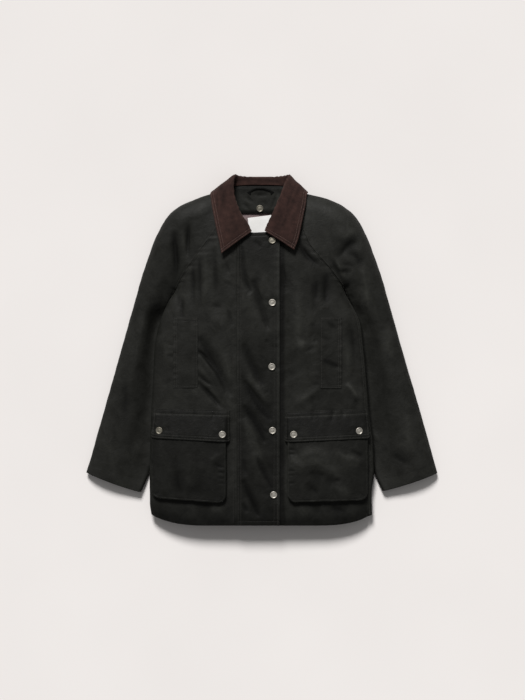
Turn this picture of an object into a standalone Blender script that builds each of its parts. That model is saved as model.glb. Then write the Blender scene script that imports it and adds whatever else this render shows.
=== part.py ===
"""A waxed cotton jacket with a corduroy collar, laid on its back and buttoned up.

Row frame: +Z up from the surface it lies on, +Y from hem to collar, +X to the wearer's left.
The origin is on the surface, at the middle of the jacket's outline.
Sizes are in millimetres, and become metres where a mesh is made.
Each wall is a loft: a table of sections gives a smooth sheet, and a panel is a range of it.
"""

import math

import bpy
import numpy as np
from mathutils import Vector

MM = 0.001

# Driving sizes
CLOTH = 2.0  # a front, back or sleeve wall: shell, lining and what is between them
SEAM_GAP = 0.3
LAY_GAP = 0.5  # under what lies on a panel
OPENING_X = -8.0  # where the two fronts meet, under the fly
ARMPIT_Y = {"right": 132.0, "left": 138.6}
HEM_Y = -385.4
HEM_CORNER_Y = -362.0
NECK_FRONT_Y = 254.0  # lowest point of the neckline
NECK_SIDE_Y = 322.0  # where the front raglan seams meet the neckline

SIDES = {"right": -1, "left": 1}  # wearer's side: sign of x

COLOURS = {  # name: (red, green, blue, roughness, metallic)
    "waxed_cotton": (0.021, 0.021, 0.019, 0.55, 0.0),
    "corduroy": (0.034, 0.018, 0.015, 0.85, 0.0),
    "lining": (0.071, 0.051, 0.051, 0.7, 0.0),
    "label_cloth": (0.75, 0.74, 0.72, 0.8, 0.0),
    "snap_metal": (0.36, 0.34, 0.31, 0.35, 1.0),
}

# ---------------------------------------------------------------- smooth helpers


def ease_out(x):
    x = np.clip(x, 0, 1)
    return 1 - (1 - x) ** 2


def ease_both(x):
    x = np.clip(x, 0, 1)
    return x * x * (3 - 2 * x)


def quarter_round(x):
    """Rises from 0 to 1 as a quarter of a circle does, upright at its start."""
    x = np.clip(x, 0, 1)
    return np.sqrt(1 - (1 - x) ** 2)


def rows_at(knots, rows, at):
    """A smooth curve through the rows of a table, read at one or more places."""
    knots = np.asarray(knots, float)
    rows = np.asarray(rows, float)
    slopes = np.gradient(rows, knots, axis=0)
    at = np.clip(np.asarray(at, float), knots[0], knots[-1])
    i = np.clip(np.searchsorted(knots, at) - 1, 0, len(knots) - 2)
    span = knots[i + 1] - knots[i]
    t = (at - knots[i]) / span
    if rows.ndim > 1:
        span, t = span[..., None], t[..., None]
    return (
        (1 + 2 * t) * (1 - t) ** 2 * rows[i]
        + t * (1 - t) ** 2 * span * slopes[i]
        + t * t * (3 - 2 * t) * rows[i + 1]
        - t * t * (1 - t) * span * slopes[i + 1]
    )


def along_line(points):
    """Distance along a line of points, from its first one."""
    steps = np.linalg.norm(np.diff(points, axis=0), axis=1)
    return np.concatenate([[0], np.cumsum(steps)])


# ---------------------------------------------------------------- folds
# Each row is a soft trough (depth below 0) or ridge (above 0), from its start by its bend to its end.
# start x, start y, bend x, bend y, end x, end y, half-width, depth
FOLDS = np.array(
    [
        # fanning from the right handwarmer pocket towards the fly
        (-138, 28, -104, -6, -66, -108, 9, -3.6),
        (-144, -62, -108, -100, -78, -134, 8, -2.8),
        (-122, -24, -96, -66, -70, -128, 9, 2.6),
        (-122, 66, -98, 62, -76, 52, 20, 1.6),
        # down the fly
        (-44, 226, -50, 150, -24, 122, 9, -2.4),
        (-20, 152, 2, 110, 14, 40, 10, -3.0),
        (-44, 26, -30, -30, 4, -70, 10, -2.8),
        (-42, -58, -16, -96, 26, -146, 9, -3.2),
        (-12, -194, 0, -250, 32, -290, 11, -2.6),
        (-42, -282, -34, -330, -10, -368, 10, -2.4),
        # left front
        (66, 150, 92, 60, 84, -40, 22, 2.4),
        (74, -124, 100, -102, 130, -82, 11, 2.4),
        (180, -72, 196, -92, 212, -118, 9, 2.4),
        (52, 120, 62, 20, 58, -90, 14, -2.2),
        # shoulder of the right sleeve
        (-160, 290, -162, 240, -164, 192, 12, -3.2),
        (-190, 296, -191, 220, -190, 130, 13, -3.4),
        # left sleeve, above and beside the armpit
        (226, 250, 196, 232, 160, 200, 22, -3.0),
        (230, 284, 196, 264, 162, 238, 22, 2.0),
        (204, 214, 212, 180, 208, 126, 18, -1.2),
        # long soft bands down both sleeves
        (-232, 120, -262, 0, -296, -150, 17, -2.0),
        (244, 110, 268, 0, 300, -140, 18, -2.0),
        (-262, -60, -284, -150, -306, -240, 15, 2.0),
        (290, -40, 312, -130, 330, -230, 15, 2.0),
    ]
)
FOLD_SPANS = 8  # straight pieces that a fold's line is measured with


def fold_height(x, y):
    """How far the folds raise the upper side at a point of the plan."""
    t = np.linspace(0, 1, FOLD_SPANS + 1)[:, None]
    height = np.zeros(np.shape(x))
    for start_x, start_y, bend_x, bend_y, end_x, end_y, width, depth in FOLDS:
        start, bend, end = (start_x, start_y), (bend_x, bend_y), (end_x, end_y)
        line = (1 - t) ** 2 * np.array(start) + 2 * t * (1 - t) * np.array(bend) + t * t * np.array(end)
        nearest = np.full(np.shape(x), 1e9)
        share = np.zeros(np.shape(x))
        for k in range(FOLD_SPANS):
            ahead = line[k + 1] - line[k]
            along = ((x - line[k][0]) * ahead[0] + (y - line[k][1]) * ahead[1]) / (ahead @ ahead)
            along = np.clip(along, 0, 1)
            away = np.hypot(x - line[k][0] - along * ahead[0], y - line[k][1] - along * ahead[1])
            closer = away < nearest
            nearest = np.where(closer, away, nearest)
            share = np.where(closer, (k + along) / FOLD_SPANS, share)
        fade = np.clip(4 * share * (1 - share), 0, 1) ** 0.8
        height = height + depth * fade * np.exp(-((nearest / width) ** 2))
    return height


# ---------------------------------------------------------------- the body's sections
# y: right edge x, left edge x, right edge height, left edge height, height at the middle,
#    width of the right side's rise off the surface, and of the left side's
BODY_SECTIONS = {
    -400: (-247, 242, 17, 17, 39, 45, 45),
    -360: (-246.8, 242.5, 17, 17, 41, 45, 45),
    -320: (-246.8, 241.5, 17, 17, 43, 46, 46),
    -272: (-246.8, 246.5, 18, 18, 46, 50, 50),
    -198: (-245.5, 245.0, 20, 20, 49, 62, 62),
    -134: (-243.0, 236.5, 22, 22, 52, 72, 72),
    -44: (-238.7, 229.0, 24, 24, 56, 80, 80),
    20: (-234.0, 222.0, 24, 24, 59, 80, 80),
    66: (-222.8, 215.0, 24, 24, 60, 80, 80),
    104: (-206.5, 194.0, 24, 24, 60, 76, 76),
    135: (-188.5, 179.0, 24, 24, 60, 72, 72),
    165: (-190, 182, 22, 22, 60, 70, 70),
    200: (-200, 192, 20, 20, 59, 70, 70),
    240: (-208, 200, 18, 18, 55, 70, 70),
    280: (-208, 200, 16, 16, 49, 70, 70),
    322: (-196, 188, 15, 15, 40, 60, 60),
    365: (-170, 160, 14, 14, 30, 50, 50),
}
ARCH_FLATNESS = 3.4
BED_HEIGHT = 3.4  # the back lies on the collar's fall here
BED_FROM_Y, BED_TO_Y = 302.0, 319.0
RING_Y = np.arange(-400, 365.1, 5.0)
RING_REACH = 540.0
RING_STEP = 1.5
RING_ACROSS = np.arange(-RING_REACH, RING_REACH + 1, RING_STEP)


def bed_height(y):
    return BED_HEIGHT * ease_both((y - BED_FROM_Y) / (BED_TO_Y - BED_FROM_Y))


def body_half(y, side):
    """Half a section at y, from the opening over the top, round the edge and under.

    Gives its x and z, and the index of the edge.
    """
    row = rows_at(list(BODY_SECTIONS), list(BODY_SECTIONS.values()), y)
    right, left, right_rise, left_rise, crown, right_lift, left_lift = row
    centre, half = (left + right) / 2, (left - right) / 2
    edge_z, lift = (right_rise, right_lift) if side < 0 else (left_rise, left_lift)
    start = side * (OPENING_X - centre) / half
    reach = np.sin(np.linspace(math.asin(start), math.pi / 2, 90))
    top_x = centre + side * half * reach
    top_z = edge_z + (crown - edge_z) * np.sqrt(np.clip(1 - np.abs(reach) ** ARCH_FLATNESS, 0, 1))
    curl = np.cos(np.linspace(0, math.pi / 2, 40))[1:]
    under_x = centre + side * (half - lift * (1 - curl))
    bed = bed_height(y)
    under_z = bed + (edge_z - bed) * (1 - np.sqrt(1 - curl**2))
    flat_x = np.linspace(under_x[-1], OPENING_X, 20)[1:]
    x = np.concatenate([top_x, under_x, flat_x])
    z = np.concatenate([top_z, under_z, np.full(len(flat_x), bed)])
    return np.stack([x, z], axis=1), len(reach) - 1


def body_table():
    """Points of the body's outer side over RING_Y and RING_ACROSS, and how far across each side's edge is."""
    table = np.zeros((len(RING_Y), len(RING_ACROSS), 3))
    edges = {"right": [], "left": []}
    for j, y in enumerate(RING_Y):
        halves = {}
        for name, side in SIDES.items():
            line, edge = body_half(y, side)
            away = along_line(line)
            edges[name].append(side * away[edge])
            halves[name] = (side * away, line)
        across = np.concatenate([halves["right"][0][:0:-1], halves["left"][0]])
        line = np.concatenate([halves["right"][1][:0:-1], halves["left"][1]])
        x = np.interp(RING_ACROSS, across, line[:, 0])
        z = np.interp(RING_ACROSS, across, line[:, 1])
        slope_x, slope_z = np.gradient(x), np.gradient(z)
        length = np.maximum(np.hypot(slope_x, slope_z), 1e-6)
        on_top = (RING_ACROSS > edges["right"][-1]) & (RING_ACROSS < edges["left"][-1])
        inside = np.minimum(RING_ACROSS - edges["right"][-1], edges["left"][-1] - RING_ACROSS)
        lift = np.where(on_top, fold_height(x, np.full(len(x), y)) * ease_both(inside / 30), 0)
        table[j, :, 0] = x - slope_z / length * lift
        table[j, :, 1] = y
        table[j, :, 2] = z + slope_x / length * lift
    return table, {name: np.array(found) for name, found in edges.items()}


def read_table(table, across_knots, along_knots, across, along):
    """Points of a table between its knots, blended from the four round each place."""
    i = np.clip(np.searchsorted(across_knots, across) - 1, 0, len(across_knots) - 2)
    j = np.clip(np.searchsorted(along_knots, along) - 1, 0, len(along_knots) - 2)
    s = ((across - across_knots[i]) / (across_knots[i + 1] - across_knots[i]))[..., None]
    t = ((along - along_knots[j]) / (along_knots[j + 1] - along_knots[j]))[..., None]
    low = table[j, i] * (1 - s) + table[j, i + 1] * s
    high = table[j + 1, i] * (1 - s) + table[j + 1, i + 1] * s
    return low * (1 - t) + high * t


def normals_of(surface, across, along, step_across, step_along, sign):
    """Unit normals of surface(across, along), by differences over the steps."""
    right = surface(across + step_across, along) - surface(across - step_across, along)
    ahead = surface(across, along + step_along) - surface(across, along - step_along)
    normal = sign * np.cross(right, ahead)
    return normal / np.maximum(np.linalg.norm(normal, axis=-1, keepdims=True), 1e-9)


BODY_TABLE, BODY_EDGES = body_table()


def body(across, along):
    """The body's outer side: across is the distance round it from the opening, along is y."""
    return read_table(BODY_TABLE, RING_ACROSS, RING_Y, np.asarray(across, float), np.asarray(along, float))


def body_normal(across, along):
    return normals_of(body, np.asarray(across, float), np.asarray(along, float), 1.5, 2.5, 1)


def body_edge(side_name, y):
    return np.interp(y, RING_Y, BODY_EDGES[side_name])


def across_at(x, y):
    """Distance across, on the upper side, of the point over x at y."""
    reach = np.linspace(body_edge("right", y), body_edge("left", y), 700)
    found = body(reach, np.full(len(reach), y))
    return float(np.interp(x, found[:, 0], reach))


def across_under(x, y):
    """Distance across, on the underside, of the point under x at y."""
    side_name = "right" if x < OPENING_X else "left"
    side = SIDES[side_name]
    reach = body_edge(side_name, y) + side * np.linspace(0, 260, 500)
    found = body(reach, np.full(len(reach), y))
    order = np.argsort(found[:, 0])
    return float(np.interp(x, found[order, 0], reach[order]))


# ---------------------------------------------------------------- the sleeves' sections
# Share of the way: 0 at the neck, 1 at the armpit, 2 at the cuff.
# front seam x, y | outer edge x, y, z | back seam x, y | height on the way out
RAGLAN_ROWS = {
    "right": {
        0.0: (-66, 322, -84, 349, 15, -64, 346, 32),
        0.15: (-84, 294, -116, 342, 15, -80, 322, 38),
        0.3: (-99, 270, -150, 330, 14, -96, 292, 44),
        0.45: (-114, 248, -187, 312.4, 13, -112, 262, 47),
        0.6: (-130, 226, -213, 286, 13, -129, 235, 47),
        0.72: (-146, 204, -232.5, 250, 13, -146, 211, 45),
        0.86: (-168.5, 172, -249, 206, 13, -168, 178, 41),
        1.0: (-189.2, 132, -262.5, 167, 13, -189.2, 132, 37),
    },
    "left": {
        0.0: (62, 322, 74, 349, 15, 54, 346, 32),
        0.15: (75, 294, 105, 342, 15, 71, 322, 38),
        0.3: (88, 268.4, 150, 330, 14, 87, 292, 44),
        0.45: (100.5, 239, 184.4, 312.4, 13, 102, 258, 47),
        0.6: (114.5, 218, 211, 286, 13, 117, 229, 47),
        0.72: (130, 200.5, 231, 249, 13, 132, 210, 45),
        0.86: (154.5, 172, 247.5, 205, 13, 155, 178, 41),
        1.0: (178.2, 138.6, 261.2, 167, 13, 178.2, 138.6, 37),
    },
}
# underarm seam x, y, z | outer edge x, y, z | height between | flat width tucked under the body
UNDERARM_ROWS = {
    "right": {
        1.0: (-189.2, 132, 24, -262.5, 167, 13, 37, 0),
        1.06: (-202, 113, 16, -269.5, 143, 13, 36, 0),
        1.12: (-208, 96, 10, -274.3, 126, 13, 35, 2),
        1.2: (-213, 76, 5.5, -281.1, 102, 13, 34, 8),
        1.3: (-217, 50, 3.4, -289.6, 72, 12, 33, 14),
        1.45: (-220, 8, 3.2, -301.4, 30, 12, 32, 18),
        1.6: (-223, -60, 3.2, -321.8, -42, 11, 31, 18),
        1.75: (-227, -135, 3.2, -341.5, -112, 11, 29, 18),
        1.87: (-234, -205, 3.2, -359.3, -175, 10, 27, 14),
        1.955: (-247.5, -271, 4.5, -377.7, -240, 9, 24, 4),
        2.0: (-266.2, -313.3, 8, -387.2, -269.7, 9, 22, 0),
    },
    "left": {
        1.0: (178.2, 138.6, 24, 261.2, 167, 13, 37, 0),
        1.06: (186.8, 119, 16, 268.2, 143, 13, 36, 0),
        1.12: (193, 102, 10, 273, 126, 13, 35, 2),
        1.2: (200, 82, 5.5, 279.9, 102, 13, 34, 8),
        1.3: (204, 55, 3.4, 288.5, 72, 12, 33, 14),
        1.45: (207, 10, 3.2, 300.5, 30, 12, 32, 18),
        1.6: (213, -60, 3.2, 321.1, -42, 11, 31, 18),
        1.75: (220, -135, 3.2, 341.2, -112, 11, 29, 18),
        1.87: (232, -200, 3.2, 359.2, -175, 10, 27, 14),
        1.955: (247, -271, 4.5, 377.6, -240, 9, 24, 4),
        2.0: (265.3, -310.9, 8, 386.3, -271, 9, 22, 0),
    },
}
CUFF_BOW = 3.0  # the cuff's edge bows out this far
OUTER_ROUND = 42.0  # how far in from the outer edge the upper side turns down
UNDER_ROUND = 16.0  # and the underside turns up
LIP_ROUND = 7.0  # roundness of the underarm edge
SLEEVE_ALONG = np.linspace(0, 2, 161)
SLEEVE_ACROSS = np.linspace(0, 2, 241)


def sleeve_section(name, share):
    """A section from the front seam (0) over the outer edge (1) and under to the back seam (2)."""
    raglan, underarm = RAGLAN_ROWS[name], UNDERARM_ROWS[name]
    if share < 1:
        row = rows_at(list(raglan), list(raglan.values()), share)
        front, outer, back = row[0:2], row[2:5], row[5:7]
        front_z = float(body(across_at(front[0], front[1]), front[1])[2])
        back_z = float(body(across_under(back[0], back[1]), back[1])[2])
        height, flat, lip = row[7], 0.0, 0.0
    else:
        row = rows_at(list(underarm), list(underarm.values()), share)
        front, outer, back = row[0:2], row[3:6], row[0:2]
        front_z = back_z = row[2]
        height, flat = row[6], row[7]
        lip = row[2] * ease_both((share - 1) / 0.2)
    closing = ease_both((share - 1) / 0.25)
    bow = CUFF_BOW * ease_both((share - 1.9) / 0.1)

    out = outer[:2] - front
    width = math.hypot(*out)
    s = width * np.sin(np.linspace(0, math.pi / 2, 120))
    rise = (s - flat) / (0.62 * width - flat)
    climb = ease_out(rise) * (1 - closing) + ease_both(rise) * closing
    start_z = front_z + lip * quarter_round(s / LIP_ROUND)
    turned = quarter_round((width - s) / min(OUTER_ROUND, 0.7 * width))
    top_z = outer[2] + (start_z + (height - start_z) * climb - outer[2]) * turned
    share_out = (s / width)[:, None]
    plan = front + share_out * out
    plan[:, 1] -= bow * 4 * share_out[:, 0] * (1 - share_out[:, 0])
    inside = np.minimum(width - s, s + 60 * (1 - closing))
    top_z = top_z + fold_height(plan[:, 0], plan[:, 1]) * ease_both(inside / 30)
    top = np.column_stack([plan, top_z])

    back_out = outer[:2] - back
    back_width = math.hypot(*back_out)
    s = back_width * np.sin(np.linspace(math.pi / 2, 0, 120))
    bed = bed_height(back[1] + (s / back_width) * back_out[1])
    edge_turn = 1 - quarter_round((back_width - s) / min(UNDER_ROUND, 0.4 * back_width))
    seam_turn = (1 - ease_out(s / 40)) * (1 - closing) + (1 - quarter_round(s / LIP_ROUND)) * closing
    under_z = bed + (outer[2] - bed) * edge_turn + (back_z - bed) * seam_turn
    share_out = (s / back_width)[:, None]
    plan = back + share_out * back_out
    plan[:, 1] -= bow * 4 * share_out[:, 0] * (1 - share_out[:, 0])
    under = np.column_stack([plan, under_z])

    halves = []
    for line in (top, under):
        away = along_line(line)
        even = np.linspace(0, away[-1], len(SLEEVE_ACROSS) // 2 + 1)
        halves.append(np.stack([np.interp(even, away, line[:, k]) for k in range(3)], axis=1))
    return np.concatenate([halves[0], halves[1][1:]])


SLEEVE_TABLES = {name: np.stack([sleeve_section(name, share) for share in SLEEVE_ALONG]) for name in SIDES}


def sleeve(name):
    def surface(across, along):
        across, along = np.asarray(across, float), np.asarray(along, float)
        closed = along >= 1
        across = np.where(closed & (across < 0), across + 2, across)
        across = np.where(closed & (across > 2), across - 2, across)
        return read_table(SLEEVE_TABLES[name], SLEEVE_ACROSS, SLEEVE_ALONG, across, along)

    return surface


# ---------------------------------------------------------------- making meshes


def material(name):
    found = bpy.data.materials.get(name)
    if found:
        return found
    red, green, blue, roughness, metallic = COLOURS[name]
    made = bpy.data.materials.new(name)
    made.use_nodes = True
    shader = made.node_tree.nodes["Principled BSDF"]
    shader.inputs["Base Color"].default_value = (red, green, blue, 1)
    shader.inputs["Roughness"].default_value = roughness
    shader.inputs["Metallic"].default_value = metallic
    made.diffuse_color = (red, green, blue, 1)
    return made


def add_object(name, mesh, material_name):
    made = bpy.data.objects.new(name, mesh)
    bpy.data.collections["waxed_jacket"].objects.link(made)
    mesh.materials.append(material(material_name))
    return made


def wall(name, outer, inner, material_name, flip=False):
    """A closed wall between two grids of points of one shape, which are its outer and inner sides."""
    rows, columns = outer.shape[:2]
    count = rows * columns
    faces = []

    def at(j, i, side):
        return side * count + j * columns + i

    for j in range(rows - 1):
        for i in range(columns - 1):
            a, b, c, d = (j, i), (j, i + 1), (j + 1, i + 1), (j + 1, i)
            for first, second, third in ((a, b, c), (a, c, d)):
                faces.append((at(*first, 0), at(*second, 0), at(*third, 0)))
                faces.append((at(*third, 1), at(*second, 1), at(*first, 1)))
    rim = [(0, i) for i in range(columns - 1)] + [(j, columns - 1) for j in range(rows - 1)]
    rim += [(rows - 1, i) for i in range(columns - 1, 0, -1)] + [(j, 0) for j in range(rows - 1, 0, -1)]
    for here, there in zip(rim, rim[1:] + rim[:1]):
        faces.append((at(*here, 0), at(*here, 1), at(*there, 1)))
        faces.append((at(*here, 0), at(*there, 1), at(*there, 0)))
    if flip:
        faces = [face[::-1] for face in faces]
    points = np.concatenate([outer.reshape(-1, 3), inner.reshape(-1, 3)]) * MM
    mesh = bpy.data.meshes.new(name)
    mesh.from_pydata(points.tolist(), [], faces)
    mesh.shade_smooth()
    mesh.set_sharp_from_angle(angle=math.radians(50))
    return add_object(name, mesh, material_name)


# ---------------------------------------------------------------- fronts, fly and back
RAGLAN_SHARES = np.linspace(1, 0, 10)  # armpit to neck
SIDE_SEAM_ROWS = 19  # hem to armpit
FLY_COLUMNS = {"right": (0, 16, 32, 47), "left": (0, 16, 33, 49.8)}  # distance from the opening
OUTER_SHARES = np.array([0.13, 0.26, 0.39, 0.52, 0.64, 0.75, 0.84, 0.91, 0.96, 1.0])
SEAM_PAST_EDGE = {"right": 22.0, "left": -12.0}  # the side seam, from the edge, at the hem
NECKLINE = {  # x, y from the opening to the raglan seam
    "right": ((-8, 254), (-32, 260), (-46, 280), (-57, 302), (-66, 322)),
    "left": ((-8, 254), (14, 258), (30, 284), (46, 306), (62, 322)),
}
HEM_FLAT_X, HEM_SIDE_X = 120.0, 246.0  # the hem is straight to the first, and curves up to the second


def hem_y(x):
    """The hem curves up towards both sides."""
    beyond = np.clip((np.abs(x) - HEM_FLAT_X) / (HEM_SIDE_X - HEM_FLAT_X), 0, 1)
    return HEM_Y + (HEM_CORNER_Y - HEM_Y) * beyond**2.6


def side_rows(name):
    """y of each row at the side: hem to armpit along the side seam, then up the front raglan seam."""
    armpit = ARMPIT_Y[name]
    lower = np.linspace(HEM_CORNER_Y, armpit, SIDE_SEAM_ROWS)
    raglan = RAGLAN_ROWS[name]
    upper = rows_at(list(raglan), list(raglan.values()), RAGLAN_SHARES)
    return lower, upper


def seam_across(name, y):
    """Where the side seam runs, as a distance across."""
    share = np.clip((ARMPIT_Y[name] - y) / 90, 0, 1)
    return body_edge(name, y) + SIDES[name] * SEAM_PAST_EDGE[name] * ease_both(share)


def front_grid(name):
    """Across and along of a front's grid, hem row first, opening column first."""
    side = SIDES[name]
    lower, upper = side_rows(name)
    outer_y = np.concatenate([lower, upper[1:, 1]])
    outer_across = [seam_across(name, y) for y in lower] + [across_at(x, y) for x, y in upper[1:, 0:2]]
    outer_share = (outer_y - HEM_CORNER_Y) / (NECK_SIDE_Y - HEM_CORNER_Y)
    middle_share = np.linspace(0, 1, len(outer_y))
    neckline = np.array(NECKLINE[name])
    neck_across = np.array([across_at(x, y) for x, y in neckline])
    fly = side * np.array(FLY_COLUMNS[name], float)
    columns = len(fly) + len(OUTER_SHARES)
    across = np.zeros((len(outer_y), columns))
    along = np.zeros_like(across)
    for c in range(columns):
        if c < len(fly):
            weight = 0.0
            here = np.full(len(outer_y), fly[c])
        else:
            weight = OUTER_SHARES[c - len(fly)]
            here = fly[-1] + weight * (np.array(outer_across) - fly[-1])
        top_y = np.interp(side * here[-1], side * neck_across, neckline[:, 1])
        bottom_y = hem_y(body(here[0], HEM_CORNER_Y)[0]) * (1 - weight**8) + HEM_CORNER_Y * weight**8
        share = middle_share * (1 - weight) + outer_share * weight
        across[:, c] = here
        along[:, c] = bottom_y + share * (top_y - bottom_y)
    return across, along


def trimmed(across, gap, side):
    """The same grid, drawn in by half the seam gap at its first and last columns."""
    across = across.copy()
    across[:, 0] += side * gap / 2
    across[:, -1] -= side * gap / 2
    return across


FRONT_GRIDS = {name: front_grid(name) for name in SIDES}


def skin(across, along, lift, normal_across=None):
    """Points over the body's outer side, lifted along its normal.

    At a seam the walls of both sides take the seam's own normal, from normal_across.
    """
    normal = body_normal(across if normal_across is None else normal_across, along)
    return body(across, along) + normal * np.asarray(lift)[..., None]


BODY_CUT_ROWS = (14,)  # a front or the back is one panel, made in two lengths
BODY_LENGTHS = ("lower", "upper")


def in_lengths(along, cuts, gap):
    """The rows of a panel's shorter lengths, cut across at those rows, and along with a gap at each cut."""
    ends = [0, *cuts, len(along) - 1]
    for first, last in zip(ends, ends[1:]):
        cut_along = along[first : last + 1].copy()
        if first > 0:
            cut_along[0] += gap / 2
        if last < len(along) - 1:
            cut_along[-1] -= gap / 2
        yield slice(first, last + 1), cut_along


def add_front(name):
    side = SIDES[name]
    across, along = FRONT_GRIDS[name]
    drawn_in = trimmed(across, 0.8, side)[:, ::side]
    across, along = across[:, ::side], along[:, ::side]
    for length, (rows, cut_along) in zip(BODY_LENGTHS, in_lengths(along, BODY_CUT_ROWS, SEAM_GAP)):
        zero = np.zeros_like(cut_along)
        outer = skin(drawn_in[rows], cut_along, zero, across[rows])
        inner = skin(drawn_in[rows], cut_along, zero - CLOTH, across[rows])
        wall(f"front_{name}_{length}", outer, inner, "waxed_cotton")


FLY_THICKNESS = 2.4


def add_fly():
    """The fly takes the fronts' own inner columns, so it follows every facet of them."""
    columns = len(FLY_COLUMNS["left"])
    right, left = FRONT_GRIDS["right"], FRONT_GRIDS["left"]
    across = np.concatenate([right[0][:, columns - 1 : 0 : -1], left[0][:, :columns]], axis=1)
    along = np.concatenate([right[1][:, columns - 1 : 0 : -1], left[1][:, :columns]], axis=1)
    lift = np.full_like(across, LAY_GAP)
    outer, inner = skin(across, along, lift + FLY_THICKNESS), skin(across, along, lift)
    return wall("front_fly", outer, inner, "waxed_cotton")


BACK_SHARES = (0, 0.025, 0.055, 0.09, 0.14, 0.24, 0.38, 0.5, 0.62, 0.76, 0.86, 0.905, 0.935, 0.96, 0.98, 1)
BACK_HEM_SHORTER = 2.0  # the back's hem lies this far inside the front's
BACK_NECK_RISE = 11.0


def add_back():
    """One wall under both fronts: its columns run from the right seam under to the left seam."""
    ends = {}
    for name in SIDES:
        lower, upper = side_rows(name)
        seam = [seam_across(name, y) for y in lower] + [across_under(x, y) for x, y in upper[1:, 5:7]]
        ends[name] = (np.array(seam), np.concatenate([lower, upper[1:, 6]]))
    rows = len(ends["left"][0])
    across = np.zeros((rows, len(BACK_SHARES)))
    along = np.zeros_like(across)
    for j in range(rows):
        start, length = {}, {}
        for name, side in SIDES.items():
            start[name] = ends[name][0][j] + side * SEAM_GAP
            length[name] = abs(across_under(OPENING_X + side * 0.5, ends[name][1][j]) - start[name])
        total = length["right"] + length["left"]
        y_right, y_left = ends["right"][1][j], ends["left"][1][j]
        for i, share in enumerate(BACK_SHARES):
            gone = share * total
            swell = 4 * share * (1 - share)
            # past the middle, the distance is counted round from the left side
            across[j, i] = start["right"] - gone if gone <= length["right"] else start["left"] + total - gone
            along[j, i] = y_right + (y_left - y_right) * share
            if j == 0:
                along[j, i] += (HEM_Y + BACK_HEM_SHORTER - HEM_CORNER_Y) * swell**0.6
            if j == rows - 1:
                along[j, i] += BACK_NECK_RISE * swell
    for length, (part, cut_along) in zip(BODY_LENGTHS, in_lengths(along, BODY_CUT_ROWS, SEAM_GAP)):
        zero = np.zeros_like(cut_along)
        outer, inner = skin(across[part], cut_along, zero), skin(across[part], cut_along, zero - CLOTH)
        wall(f"back_{length}", outer, inner, "waxed_cotton", flip=True)


# ---------------------------------------------------------------- sleeves
OVERARM_INSIDE = {"right": -6.0, "left": 8.0}  # the overarm seam, from the outer edge towards the front
UNDERARM_SHARES = np.linspace(1, 2, 15)[1:]
SLEEVE_CUT_ROWS = (9, 16)  # each half is one panel, made in three lengths: cut at the armpit and the elbow
SLEEVE_LENGTHS = ("raglan", "upper", "lower")
SLEEVE_CUT_GAP = 0.0008  # as a share of the way, for which the sleeve is 300 to 470 mm long
SLEEVE_SEAM_GAP = 0.5
NECK_END_GAP = 1.3  # more room at the neck, where the shoulder turns down under the collar
ARMPIT_GAP = 0.6  # and at the armpit, where four walls meet
TOP_SHARES = np.array([0, 0.1, 0.22, 0.35, 0.48, 0.61, 0.73, 0.84, 0.93, 1.0])
BACK_HALF_SHARES = np.array([0, 0.04, 0.09, 0.15, 0.23, 0.36, 0.52, 0.7, 0.86, 0.94, 1.0])


def add_sleeve(name):
    side = SIDES[name]
    surface = sleeve(name)
    along_rows = np.concatenate([RAGLAN_SHARES[::-1], UNDERARM_SHARES])
    halves = {"front": ([], [], []), "back": ([], [], [])}
    for along in along_rows:
        top_length = along_line(surface(np.linspace(0, 1, 60), np.full(60, along)))[-1]
        under_length = along_line(surface(np.linspace(1, 2, 60), np.full(60, along)))[-1]
        inside = OVERARM_INSIDE[name]
        seam = 1 - inside / (top_length if inside > 0 else under_length)
        armpit_gap = ARMPIT_GAP * math.exp(-(((along - 1.04) / 0.08) ** 2))
        neck_gap = NECK_END_GAP * (1 - ease_both(along / 0.3))
        gap_top = (SLEEVE_SEAM_GAP + neck_gap + armpit_gap) / top_length
        gap_under = (SLEEVE_SEAM_GAP + armpit_gap) / under_length
        overarm_gap = 0.2 / top_length
        front = gap_top + (seam - overarm_gap - gap_top) * TOP_SHARES
        start = seam + overarm_gap
        back = start + (2 - gap_under - start) * BACK_HALF_SHARES
        for key, across, ends in (("front", front, (0, seam)), ("back", back, (seam, 2))):
            halves[key][0].append(across)
            halves[key][1].append(np.full(len(across), along))
            halves[key][2].append(np.concatenate([[ends[0]], across[1:-1], [ends[1]]]))
    for key, (across, along, on_seams) in halves.items():
        across, along = np.array(across), np.array(along)
        normal = normals_of(surface, np.array(on_seams), along, 0.01, 0.012, -side)
        for length, (part, cut_along) in zip(SLEEVE_LENGTHS, in_lengths(along, SLEEVE_CUT_ROWS, SLEEVE_CUT_GAP)):
            outer = surface(across[part], cut_along)
            inner = outer - normal[part] * CLOTH
            wall(f"sleeve_{name}_{key}_{length}", outer, inner, "waxed_cotton", flip=side > 0)


# ---------------------------------------------------------------- pockets, flaps and welts
# inner x, outer x at the top; inner y, outer y of the top; inner y, outer y of the bottom
FLAPS = {
    "right": {"inner": -70.5, "outer": -236.5, "top": (-132, -128), "bottom": (-201, -192.5)},
    "left": {"inner": 49.5, "outer": 230.5, "top": (-135.5, -128), "bottom": (-201, -193.5)},
}
BAGS = {
    "right": {"inner": -78.5, "outer": -238.0, "bottom": (-335.5, -324.0)},
    "left": {"inner": 56.0, "outer": 228.5, "bottom": (-333.5, -329.0)},
}
BAG_DEPTH = 7.5
BAG_CORNER = 18.0
BAG_SIDE_RUN = 5.0  # how far in from its edge the bag reaches its full depth
BAG_MOUTH_BELOW = 12.0  # the bag's open top, below the flap's seam
FLAP_THICKNESS = 2.0


def bag_outline(name):
    bag, flap = BAGS[name], FLAPS[name]
    side = SIDES[name]
    mouth = [y - BAG_MOUTH_BELOW for y in flap["top"]]
    ends = [across_at(x, sum(mouth) / 2) for x in (bag["inner"], bag["outer"])]
    return side, ends, mouth, bag["bottom"]


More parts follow.
